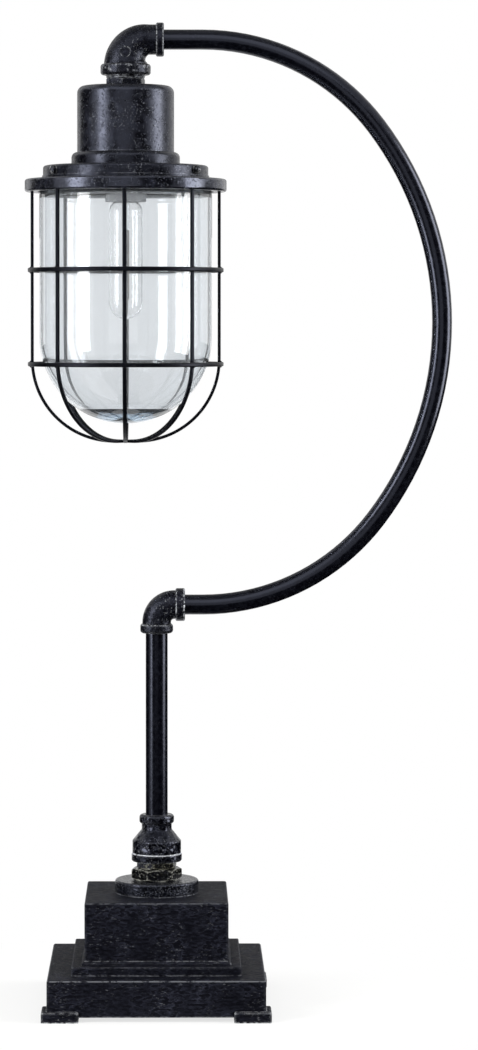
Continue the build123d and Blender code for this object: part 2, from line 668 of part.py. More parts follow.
def arm_lead():
    """From the swivel through the lower elbow, the arm and the upper elbow to the head's swivel."""
    start = (0, 0, LOWER_END + LEAD_GAP)
    finish = (HEAD_OFFSET, 0, UPPER_END + LEAD_GAP)
    middle = LOWER_BEND * (1 - sin(radians(45)))
    lower_bend = ThreePointArc(
        (0, 0, ARM_LOWER_HEIGHT - LOWER_BEND),
        (middle, 0, ARM_LOWER_HEIGHT - middle),
        (LOWER_BEND, 0, ARM_LOWER_HEIGHT),
    )
    middle = UPPER_BEND * (1 - sin(radians(45)))
    upper_bend = ThreePointArc(
        (HEAD_OFFSET + UPPER_BEND, 0, ARM_UPPER_HEIGHT),
        (HEAD_OFFSET + middle, 0, ARM_UPPER_HEIGHT - middle),
        (HEAD_OFFSET, 0, ARM_UPPER_HEIGHT - UPPER_BEND),
    )
    route = [Line(start, lower_bend @ 0).edge(), lower_bend.edge()]
    route += arm_curve(LOWER_BEND, HEAD_OFFSET + UPPER_BEND)
    route += [upper_bend.edge(), Line(upper_bend @ 1, finish).edge()]
    section = Plane(origin=start, z_dir=(0, 0, 1)) * Circle(LEAD_RADIUS)
    return sweep(section, Wire(route))


# Head

def neck_nipple():
    """The swivel: a spigot in the elbow, a collar under it and a threaded tail through the cup."""
    tail_bore = STEM_RADIUS + THREAD_GAP
    return turned(
        (ROD_BORE, NIPPLE_TOP),
        (NIPPLE_SPIGOT_RADIUS, NIPPLE_TOP),
        (NIPPLE_SPIGOT_RADIUS, NIPPLE_COLLAR_TOP),
        (NIPPLE_COLLAR_RADIUS, NIPPLE_COLLAR_TOP),
        (NIPPLE_COLLAR_RADIUS, NECK_NUT_TOP),
        (NIPPLE_TAIL_RADIUS, NECK_NUT_TOP),
        (NIPPLE_TAIL_RADIUS, NIPPLE_BOTTOM),
        (tail_bore, NIPPLE_BOTTOM),
        (tail_bore, STEM_TOP),
        (ROD_BORE, STEM_TOP),
    )


def lamp_cup():
    """A spun cup, open below, with a rounded top edge and a hole for the nipple."""
    cup = rod(CUP_RADIUS, CUP_BOTTOM, CUP_TOP)
    cup = fillet(rims(cup, CUP_RADIUS, CUP_TOP), CUP_ROUND)
    hollow = rod(CUP_INNER_RADIUS, CUP_BOTTOM, CUP_TOP - CUP_WALL)
    hollow = fillet(rims(hollow, CUP_INNER_RADIUS, CUP_TOP - CUP_WALL), CUP_ROUND - CUP_WALL)
    return cup - hollow - rod(NIPPLE_TAIL_RADIUS + THREAD_GAP, CUP_BOTTOM, CUP_TOP)


def gallery_collar():
    """The spun plate that closes the cup: a sleeve in the cup, a rounded skirt, a plate and its collar."""
    wall = GALLERY_WALL
    sleeve_radius = CUP_INNER_RADIUS - THREAD_GAP
    shell = turned(
        (HOLDER_RADIUS + THREAD_GAP, GALLERY_TOP),
        (sleeve_radius, GALLERY_TOP),
        (sleeve_radius, CUP_BOTTOM),
        (SKIRT_RADIUS, CUP_BOTTOM),
        (SKIRT_RADIUS, SKIRT_BOTTOM),
        (COLLAR_RADIUS, SKIRT_BOTTOM),
        (COLLAR_RADIUS, COLLAR_LIP_TOP),
        (COLLAR_LIP_RADIUS, COLLAR_LIP_TOP),
        (COLLAR_LIP_RADIUS, COLLAR_BOTTOM),
        (COLLAR_INNER_RADIUS, COLLAR_BOTTOM),
        (COLLAR_INNER_RADIUS, SKIRT_BOTTOM - wall),
        (SKIRT_RADIUS - wall, SKIRT_BOTTOM - wall),
        (SKIRT_RADIUS - wall, CUP_BOTTOM - wall),
        (sleeve_radius - wall, CUP_BOTTOM - wall),
        (sleeve_radius - wall, GALLERY_TOP - wall),
        (HOLDER_RADIUS + THREAD_GAP, GALLERY_TOP - wall),
    )
    shell = fillet(rims(shell, COLLAR_RADIUS, SKIRT_BOTTOM), COLLAR_ROUND)
    shell = fillet(rims(shell, SKIRT_RADIUS, CUP_BOTTOM), SKIRT_ROUND)
    shell = fillet(rims(shell, SKIRT_RADIUS - wall, CUP_BOTTOM - wall), SKIRT_ROUND - wall)
    for angle in COLLAR_SCREW_ANGLES:
        shell -= collar_screw_place(angle) * rod(
            COLLAR_SCREW_RADIUS + THREAD_GAP, COLLAR_INNER_RADIUS - SLIP_GAP, COLLAR_LIP_RADIUS + SLIP_GAP
        )
    return shell


def collar_screw_place(angle):
    """Where a screw modelled about Z lies in the collar, its +Z end pointing out."""
    return Pos(0, 0, COLLAR_SCREW_HEIGHT) * Rot(0, 0, angle) * Rot(0, 90, 0)


def collar_screw(angle):
    """A round-headed screw through the collar, its tip against the glass ring's neck."""
    tip = RING_NECK_RADIUS + THREAD_GAP
    seat = COLLAR_RADIUS + THREAD_GAP
    end = seat + COLLAR_HEAD_HEIGHT
    head = rod(COLLAR_HEAD_RADIUS, seat, end)
    head = fillet(rims(head, COLLAR_HEAD_RADIUS, end), COLLAR_HEAD_ROUND)
    return at_head(collar_screw_place(angle) * (rod(COLLAR_SCREW_RADIUS, tip, seat) + head))


def holder_stem():
    return tube(STEM_RADIUS, ROD_BORE, HOLDER_STEM_SEAT, STEM_TOP)


def lampholder_body():
    """Moulded lampholder: a ledge on the gallery, a wide mouth below, a socket for the stem above."""
    sleeve_bore = SLEEVE_RADIUS + THREAD_GAP
    stem_bore = STEM_RADIUS + THREAD_GAP
    body = turned(
        (HOLDER_MOUTH_RADIUS, HOLDER_RIM),
        (HOLDER_RADIUS, HOLDER_RIM),
        (HOLDER_RADIUS, GALLERY_TOP),
        (HOLDER_LEDGE_RADIUS, GALLERY_TOP),
        (HOLDER_LEDGE_RADIUS, GALLERY_TOP + HOLDER_LEDGE_HEIGHT),
        (HOLDER_RADIUS, GALLERY_TOP + HOLDER_LEDGE_HEIGHT),
        (HOLDER_RADIUS, HOLDER_TOP),
        (stem_bore, HOLDER_TOP),
        (stem_bore, HOLDER_STEM_SEAT),
        (ROD_BORE, HOLDER_STEM_SEAT),
        (ROD_BORE, HOLDER_LEAD_SEAT),
        (0, HOLDER_LEAD_SEAT),
        (0, SLEEVE_TOP),
        (sleeve_bore, SLEEVE_TOP),
        (sleeve_bore, SLEEVE_BOTTOM),
        (HOLDER_MOUTH_RADIUS, SLEEVE_BOTTOM),
    )
    return body


def shade_ring():
    """The threaded ring under the gallery's plate that clamps it to the lampholder's ledge."""
    top = GALLERY_TOP - GALLERY_WALL
    ring = tube(SHADE_RING_RADIUS, HOLDER_RADIUS + THREAD_GAP, top - SHADE_RING_HEIGHT, top)
    return fillet(rims(ring, SHADE_RING_RADIUS, top - SHADE_RING_HEIGHT), SHADE_RING_HEIGHT / 4)


def head_lead():
    return rod(LEAD_RADIUS, HOLDER_LEAD_SEAT, UPPER_END)


# Cage and jar

def glass_ring():
    """The ring that carries jar and cage: a plain neck in the collar and a plate on the cage flange."""
    ring = turned(
        (RING_BORE, RING_PLATE_BOTTOM),
        (RING_PLATE_RADIUS, RING_PLATE_BOTTOM),
        (RING_PLATE_RADIUS, RING_TOP),
        (RING_NECK_RADIUS, RING_TOP),
        (RING_NECK_RADIUS, RING_NECK_TOP),
        (RING_BORE, RING_NECK_TOP),
    )
    for place in ring_screw_places():
        ring -= place * countersunk_screw(
            RING_SCREW_RADIUS + THREAD_GAP,
            RING_SCREW_LENGTH,
            RING_SCREW_HEAD_RADIUS + THREAD_GAP,
            RING_SCREW_HEAD_HEIGHT,
        )
    return ring


def ring_screw_places():
    """Screws point down from the plate's top, between the ribs."""
    turn = 360 / RING_SCREW_COUNT
    offset = 180 / RIB_COUNT
    return [
        Rot(0, 0, offset + turn * count) * Pos(RING_SCREW_CIRCLE, 0, RING_TOP) * Rot(180, 0, 0)
        for count in range(RING_SCREW_COUNT)
    ]


def ring_screws():
    screw = countersunk_screw(
        RING_SCREW_RADIUS, RING_SCREW_LENGTH, RING_SCREW_HEAD_RADIUS, RING_SCREW_HEAD_HEIGHT
    )
    return Compound(children=[(at_head(place * screw)).solid() for place in ring_screw_places()])


def cage_flange():
    """The broad ring that the ribs hang from, rebated for the glass ring's plate."""
    ring = tube(CAGE_FLANGE_RADIUS, CAGE_FLANGE_BORE, CAGE_FLANGE_BOTTOM, RING_TOP)
    soft = rims(ring, CAGE_FLANGE_RADIUS, CAGE_FLANGE_BOTTOM) + rims(ring, CAGE_FLANGE_RADIUS, RING_TOP)
    ring = fillet(soft, CAGE_FLANGE_ROUND)
    ring -= rod(RING_PLATE_RADIUS + THREAD_GAP, RING_PLATE_BOTTOM, RING_TOP)
    for place in ring_screw_places():
        ring -= place * rod(RING_SCREW_RADIUS + THREAD_GAP, 0, RING_SCREW_LENGTH)
    return ring


def cage_rib(angle):
    """One flat bar: straight down, round under the jar, mitred against the others on the axis."""
    top = (RIB_CIRCLE, 0, CAGE_FLANGE_BOTTOM)
    straight = Line(top, (RIB_CIRCLE, 0, RIB_DOME_HEIGHT))
    inner = RIB_CIRCLE - RIB_DOME_RADIUS
    dome = ThreePointArc(
        (RIB_CIRCLE, 0, RIB_DOME_HEIGHT),
        (inner + RIB_DOME_RADIUS * cos(radians(45)), 0, RIB_DOME_HEIGHT - RIB_DOME_RADIUS * sin(radians(45))),
        (inner, 0, RIB_BOTTOM),
    )
    to_axis = Line((inner, 0, RIB_BOTTOM), (0, 0, RIB_BOTTOM))
    section = Plane(origin=top, x_dir=(1, 0, 0), z_dir=(0, 0, -1)) * RectangleRounded(
        RIB_THICK, RIB_WIDTH, RIB_ROUND
    )
    bar = sweep(section, Wire([straight.edge(), dome.edge(), to_axis.edge()]))
    half = radians(180 / RIB_COUNT)
    far = 2 * RIB_CIRCLE
    sector = make_face(
        Polyline((0, 0), (far, -far * sin(half) / cos(half)), (far, far * sin(half) / cos(half)), close=True)
    )
    wedge = extrude(Pos(0, 0, RIB_BOTTOM - RIB_THICK) * sector, CAGE_FLANGE_BOTTOM - RIB_BOTTOM + RIB_THICK)
    return at_head(Rot(0, 0, angle) * (bar & wedge))


def cage_hoop(drop):
    """A flat hoop welded round the outside of the ribs, at a distance under the cage flange."""
    middle = CAGE_FLANGE_BOTTOM - drop
    outer = HOOP_INNER_RADIUS + HOOP_THICK
    bottom = middle - HOOP_HEIGHT / 2
    top = middle + HOOP_HEIGHT / 2
    hoop = tube(outer, HOOP_INNER_RADIUS, bottom, top)
    return at_head(fillet(rims(hoop, outer, bottom) + rims(hoop, outer, top), HOOP_ROUND))


def jar_outline(offset, neck_radius):
    """Half section of the jar, drawn in by an offset: neck, rounded shoulder, straight side, round bottom."""
    radius = JAR_RADIUS - offset
    shoulder = JAR_SHOULDER - offset
    round_radius = JAR_SHOULDER_ROUND - offset / 2
    neck = Line((neck_radius, JAR_NECK_TOP), (neck_radius, shoulder))
    ledge = Line(neck @ 1, (radius - round_radius, shoulder))
    shoulder_arc = JernArc(ledge @ 1, (1, 0), round_radius, -90)
    side = Line(shoulder_arc @ 1, (radius, JAR_LOWEST + JAR_RADIUS))
    bowl = JernArc(side @ 1, (0, -1), radius, -90)
    axis = Line(bowl @ 1, (0, JAR_NECK_TOP))
    lid = Line(axis @ 1, neck @ 0)
    return make_face([neck, ledge, shoulder_arc, side, bowl, axis, lid])


def glass_jar():
    """Pressed glass jar with a neck in the glass ring, an even wall and a thick dished floor."""
    floor = Pos(0, JAR_LOWEST + JAR_BOTTOM + JAR_FLOOR_ROUND) * Circle(JAR_FLOOR_ROUND)
    inside = jar_outline(JAR_WALL, JAR_NECK_RADIUS - JAR_NECK_WALL) & floor
    return revolve(Plane.XZ * (jar_outline(0, JAR_NECK_RADIUS) - inside), Axis.Z)


def jar_gasket():
    inner = RING_BORE
    return tube(inner + GASKET_WIDTH, inner, JAR_SHOULDER, RING_PLATE_BOTTOM)


# Bulb

def bulb_outline(offset):
    """Half section of the bulb's glass, drawn in from its outside by an offset."""
    radius = BULB_RADIUS - offset
    neck_radius = BULB_NECK_RADIUS - offset
    neck = Line((neck_radius, BULB_NECK_TOP), (neck_radius, BULB_SHOULDER_TOP))
    middle = ((radius + neck_radius) / 2, (BULB_SHOULDER + BULB_SHOULDER_TOP) / 2)
    upper = TangentArc(neck @ 1, middle, tangent=(0, -1))
    lower = TangentArc(middle, (radius, BULB_SHOULDER), tangent=upper % 1)
    side = Line((radius, BULB_SHOULDER), (radius, BULB_LOWEST + BULB_RADIUS))
    bowl = JernArc(side @ 1, (0, -1), radius, -90)
    axis = Line(bowl @ 1, (0, BULB_NECK_TOP))
    lid = Line(axis @ 1, neck @ 0)
    return make_face([neck, upper, lower, side, bowl, axis, lid])


def bulb_glass():
    return revolve(Plane.XZ * (bulb_outline(0) - bulb_outline(BULB_WALL)), Axis.Z)


def bulb_cap():
    """The screw cap: a shell over the bulb's neck with a cone that carries the tip contact."""
    inner = CAP_RADIUS - CAP_WALL
    return turned(
        (inner, CAP_BOTTOM),
        (CAP_RADIUS, CAP_BOTTOM),
        (CAP_RADIUS, CAP_SHOULDER),
        (CAP_CONE_RADIUS, CAP_TOP),
        (0, CAP_TOP),
        (0, CAP_SHOULDER),
        (inner, CAP_SHOULDER - CAP_WALL),
    )


def bulb_stem():
    """The glass stem that holds the filament, flared at its top to the bulb's neck."""
    flare = BULB_NECK_RADIUS - BULB_WALL - THREAD_GAP
    return turned(
        (0, STEM_GLASS_BOTTOM),
        (STEM_GLASS_RADIUS, STEM_GLASS_BOTTOM),
        (STEM_GLASS_RADIUS, STEM_GLASS_TOP - flare),
        (flare, STEM_GLASS_TOP - THREAD_GAP),
        (flare, STEM_GLASS_TOP),
        (0, STEM_GLASS_TOP),
    )


def bulb_filament():
    """A hairpin wire that hangs from the stem."""
    half = FILAMENT_HALF_SPAN
    low = STEM_GLASS_BOTTOM - FILAMENT_LENGTH + half
    down = Line((-half, 0, STEM_GLASS_BOTTOM), (-half, 0, low))
    turn = ThreePointArc((-half, 0, low), (0, 0, low - half), (half, 0, low))
    up = Line((half, 0, low), (half, 0, STEM_GLASS_BOTTOM))
    section = Plane(origin=(-half, 0, STEM_GLASS_BOTTOM), z_dir=(0, 0, -1)) * Circle(FILAMENT_RADIUS)
    return sweep(section, Wire([down.edge(), turn.edge(), up.edge()]))


def base_nodes():
    foot_screws = [place * foot_screw() for place in four_corners(FOOT_CENTRE)]
    return {
        "plinth": plinth(),
        "corner_feet": corner_feet(),
        "foot_screws": Compound(children=[screw.solid() for screw in foot_screws]),
        "step_moulding": step_moulding(),
        "pedestal_block": pedestal_block(),
        "base_cover": slab(COVER_WIDTH, PLINTH_BOTTOM, COVER_TOP),
        "ballast_plate": ballast_plate(),
        "cord_bushing": cord_bushing(),
        "terminal_block": terminal_block(),
        "tie_rod": tube(ROD_RADIUS, ROD_BORE, ROD_BOTTOM, ROD_TOP),
        "rod_washer": tube(WASHER_RADIUS, ROD_RADIUS + THREAD_GAP, WASHER_BOTTOM, CAVITY_TOP),
        "rod_nut": hex_nut(ROD_NUT_CORNERS, ROD_NUT_BOTTOM, WASHER_BOTTOM, ROD_RADIUS + THREAD_GAP),
        "base_lead": base_lead(),
        "floor_flange": floor_flange(),
        "lock_nut": lock_nut(),
        "hex_bushing": hex_bushing(),
        "bell_reducer": bell_reducer(),
        "upright_pipe": tube(UPRIGHT_RADIUS, UPRIGHT_BORE, BELL_SEAT, UPRIGHT_TOP),
    }


def arm_nodes():
    return {
        "lower_elbow": lower_elbow(),
        "arm_pipe": arm_pipe(),
        "upper_elbow": upper_elbow(),
        "arm_lead": arm_lead(),
    }


def head_nodes():
    tail_bore = NIPPLE_TAIL_RADIUS + THREAD_GAP
    inner_nut_bottom = INNER_NUT_TOP - INNER_NUT_HEIGHT
    pieces = {
        "neck_nipple": neck_nipple(),
        "neck_lock_nut": hex_nut(NECK_NUT_CORNERS, CUP_TOP, NECK_NUT_TOP, tail_bore, NECK_NUT_TURN),
        "inner_lock_nut": hex_nut(INNER_NUT_CORNERS, inner_nut_bottom, INNER_NUT_TOP, tail_bore),
        "lamp_cup": lamp_cup(),
        "gallery_collar": gallery_collar(),
        "holder_stem": holder_stem(),
        "lampholder_body": lampholder_body(),
        "lampholder_sleeve": tube(SLEEVE_RADIUS, SLEEVE_INNER_RADIUS, SLEEVE_BOTTOM, SLEEVE_TOP),
        "lampholder_contact": rod(CONTACT_RADIUS, CONTACT_BOTTOM, SLEEVE_TOP),
        "shade_ring": shade_ring(),
        "head_lead": head_lead(),
    }
    nodes = {name: at_head(piece) for name, piece in pieces.items()}
    for number, angle in enumerate(COLLAR_SCREW_ANGLES, 1):
        nodes[f"collar_screw_{number}"] = collar_screw(angle)
    return nodes


def cage_nodes():
    nodes = {
        "glass_ring": at_head(glass_ring()),
        "ring_screws": ring_screws(),
        "cage_flange": at_head(cage_flange()),
        "cage_hoop_upper": cage_hoop(UPPER_HOOP_DROP),
        "cage_hoop_lower": cage_hoop(LOWER_HOOP_DROP),
        "glass_jar": at_head(glass_jar()),
        "jar_gasket": at_head(jar_gasket()),
    }
    for number in range(RIB_COUNT):
        nodes[f"cage_rib_{number + 1}"] = cage_rib(-90 + number * 360 / RIB_COUNT)
    return nodes


def bulb_nodes():
    pieces = {
        "bulb_glass": bulb_glass(),
        "bulb_cap": bulb_cap(),
        "bulb_tip": rod(TIP_RADIUS, CAP_TOP, TIP_TOP),
        "bulb_stem": bulb_stem(),
        "bulb_filament": bulb_filament(),
    }
    return {name: at_head(piece) for name, piece in pieces.items()}


def main():
    os.makedirs("parts", exist_ok=True)
    nodes = base_nodes() | arm_nodes() | head_nodes() | cage_nodes() | bulb_nodes()
    for name, shape in nodes.items():
        export_step(shape, f"parts/{name}.step")


main()
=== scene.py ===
"""Looks of the iron-pipe desk lamp: a finish for every CAD piece, and the small detail that the CAD leaves out.

Lengths in the classes are in millimetres. Meshes and lights are in metres, in the CAD's own frame: +Z is up,
the front is towards -Y, and the origin is on the table under the middle of the base.
"""

import logging
from dataclasses import dataclass, replace
from enum import Enum
from typing import Any, Mapping, Sequence

import bmesh
import bpy
import numpy as np
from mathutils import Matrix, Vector


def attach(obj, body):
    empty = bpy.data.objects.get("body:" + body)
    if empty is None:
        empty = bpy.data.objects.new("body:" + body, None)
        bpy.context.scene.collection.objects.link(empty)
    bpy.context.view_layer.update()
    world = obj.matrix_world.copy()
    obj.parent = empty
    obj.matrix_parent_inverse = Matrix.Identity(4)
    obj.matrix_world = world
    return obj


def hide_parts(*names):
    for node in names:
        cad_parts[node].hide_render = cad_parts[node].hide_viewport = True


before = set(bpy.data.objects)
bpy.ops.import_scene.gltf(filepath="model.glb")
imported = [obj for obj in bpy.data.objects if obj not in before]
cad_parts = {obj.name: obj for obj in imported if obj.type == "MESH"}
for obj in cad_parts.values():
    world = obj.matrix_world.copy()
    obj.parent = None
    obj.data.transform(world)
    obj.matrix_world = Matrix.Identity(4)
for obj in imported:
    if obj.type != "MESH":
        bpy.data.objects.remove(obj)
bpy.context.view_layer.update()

LOG = logging.getLogger("desk_lamp")
MM = 0.001
HEAD_AXIS_X = -20.0  # the head's axis, in millimetres from the base's
WELD_M = 1e-6
SHARP_DEGREES = 35.0
EDGE_RAYS = 6
FLAT_OPENNESS = 0.88
EDGE_OPENNESS = 0.58
WHITE = (1.0, 1.0, 1.0, 1.0)

Node = bpy.types.Node
Socket = bpy.types.NodeSocket
Tree = bpy.types.NodeTree
Sheet = tuple[np.ndarray, np.ndarray]


def linear(colour: str) -> tuple[float, float, float, float]:
    """Turns an sRGB hex value into linear colour.

    Args:
        colour: six hex digits, such as "1c1d21".

    Returns:
        Linear red, green and blue, with an alpha of 1.
    """
    share = np.array([int(colour[start:start + 2], 16) for start in (0, 2, 4)]) / 255.0
    line = np.where(share <= 0.04045, share / 12.92, ((share + 0.055) / 1.055) ** 2.4)
    return (*line.tolist(), 1.0)


def per_metre(size_mm: float) -> float:
    """Gives the texture scale, in repeats per metre, of a pattern whose real size is in millimetres."""
    return 1.0 / (size_mm * MM)


def fill_inputs(tree: Tree, node: Node, inputs: Mapping[str | int, Any]) -> None:
    """Sets or links a node's inputs.

    Args:
        tree: the node tree that holds the node.
        node: the node.
        inputs: for each input's name or number, a value to set, an output to link, or a node whose first
            output is linked.
    """
    for name, value in inputs.items():
        source = value.outputs[0] if isinstance(value, Node) else value
        if isinstance(source, Socket):
            tree.links.new(source, node.inputs[name])
        else:
            node.inputs[name].default_value = source


def add_node(tree: Tree, kind: str, inputs: Mapping[str | int, Any] | None = None, **settings: Any) -> Node:
    """Adds a node, sets its properties, and fills or links its inputs.

    Args:
        tree: the node tree that gets the node.
        kind: the node's type name.
        inputs: what fill_inputs sets or links.
        settings: properties of the node itself.

    Returns:
        The new node.
    """
    node = tree.nodes.new(kind)
    for name, value in settings.items():
        setattr(node, name, value)
    fill_inputs(tree, node, inputs or {})
    return node


def patches(
    tree: Tree, place: Socket | Node, size_mm: float, low: float, high: float, detail: float = 3.0
) -> Node:
    """Draws soft-edged patches: cloud noise of a real size, cut between two levels.

    Args:
        tree: the material's nodes.
        place: the coordinates to read.
        size_mm: the patches' rough size.
        low: the noise level that gives 0.
        high: the noise level that gives 1.
        detail: how many finer layers the noise has.

    Returns:
        A node that gives 0 to 1.
    """
    cloud = add_node(
        tree,
        "ShaderNodeTexNoise",
        {"Vector": place, "Scale": per_metre(size_mm), "Detail": detail, "Roughness": 0.6},
    )
    return add_node(
        tree,
        "ShaderNodeMapRange",
        {"Value": cloud, "From Min": low, "From Max": high},
        interpolation_type="SMOOTHSTEP",
    )


def making_marks(
    tree: Tree, place: Socket, sizes_mm: Sequence[float], detail: float, roughness: float = 0.5
) -> Node:
    """Draws the marks of a surface's making: noise with a real size of its own along X, Y and Z.

    Args:
        tree: the material's nodes.
        place: the coordinates to read.
        sizes_mm: the rough size of its lumps along the three axes.
        detail: how many finer layers the noise has.
        roughness: how strong each finer layer is against the one before.

    Returns:
        A node that gives the noise's height.
    """
    scale = [per_metre(size) for size in sizes_mm]
    stretched = add_node(tree, "ShaderNodeMapping", {"Vector": place, "Scale": scale})
    return add_node(
        tree,
        "ShaderNodeTexNoise",
        {"Vector": stretched, "Scale": 1.0, "Detail": detail, "Roughness": roughness},
    )


def worn_edges(tree: Tree, width_mm: float) -> Node:
    """Finds outer edges: close to one, rays sent into the piece soon meet its other face.

    Args:
        tree: the material's nodes.
        width_mm: how far from the edge the wear reaches.

    Returns:
        A node that gives 0 on flat ground and in corners, and 1 on an outer edge.
    """
    inner = add_node(
        tree,
        "ShaderNodeAmbientOcclusion",
        {"Distance": width_mm * MM},
        samples=EDGE_RAYS,
        inside=True,
        only_local=True,
    )
    return add_node(
        tree,
        "ShaderNodeMapRange",
        {"Value": inner.outputs["AO"], "From Min": FLAT_OPENNESS, "From Max": EDGE_OPENNESS},
    )


def shows_white(tree: Tree) -> Node:
    """Tells rays that show the surround, straight, mirrored or through glass, from rays that only light.

    Args:
        tree: the nodes of the world or the floor.

    Returns:
        A node that gives 1 for rays that show it.
    """
    path = add_node(tree, "ShaderNodeLightPath")
    mirrored = add_node(
        tree,
        "ShaderNodeMath",
        {0: path.outputs["Is Camera Ray"], 1: path.outputs["Is Glossy Ray"]},
        operation="MAXIMUM",
    )
    return add_node(
        tree, "ShaderNodeMath", {0: mirrored, 1: path.outputs["Is Transmission Ray"]}, operation="MAXIMUM"
    )


class Tooth(Enum):
    """How a surface was worked, as the size of its marks along X, Y and Z against their fine size."""

    CAST = (1.0, 1.0, 1.0)
    SPUN = (14.0, 14.0, 1.0)
    BRUSHED = (2.6, 2.6, 1.0)


@dataclass(frozen=True)
class Finish:
    """A named surface finish."""

    name: str

    def material(self) -> bpy.types.Material:
        """Gives the finish's material, and makes it the first time.

        Returns:
            The material.
        """
        known = bpy.data.materials.get(self.name)
        if known is not None:
            return known
        made = bpy.data.materials.new(self.name)
        made.use_nodes = True
        self.paint(made.node_tree, made.node_tree.nodes["Principled BSDF"])
        return made

    def paint(self, tree: Tree, shader: Node) -> None:
        """Draws the finish on a shader; each kind of finish has its own way.

        Args:
            tree: the material's nodes.
            shader: its Principled shader.
        """
        raise NotImplementedError


@dataclass(frozen=True)
class RubbedAndHighlightLine:
    """A broken pale line where a piece crosses a plane: rubbed bare, and on the upper elbow's band also a
    painted highlight.

    It has the axis that the plane is square to, its place on that axis, the line's half width, its strength,
    the size of its gaps, and the noise level under which there is a gap.
    """

    axis: str
    at_mm: float
    half_mm: float
    share: float = 1.0
    gap_mm: float = 3.4
    gap_cut: float = 0.3


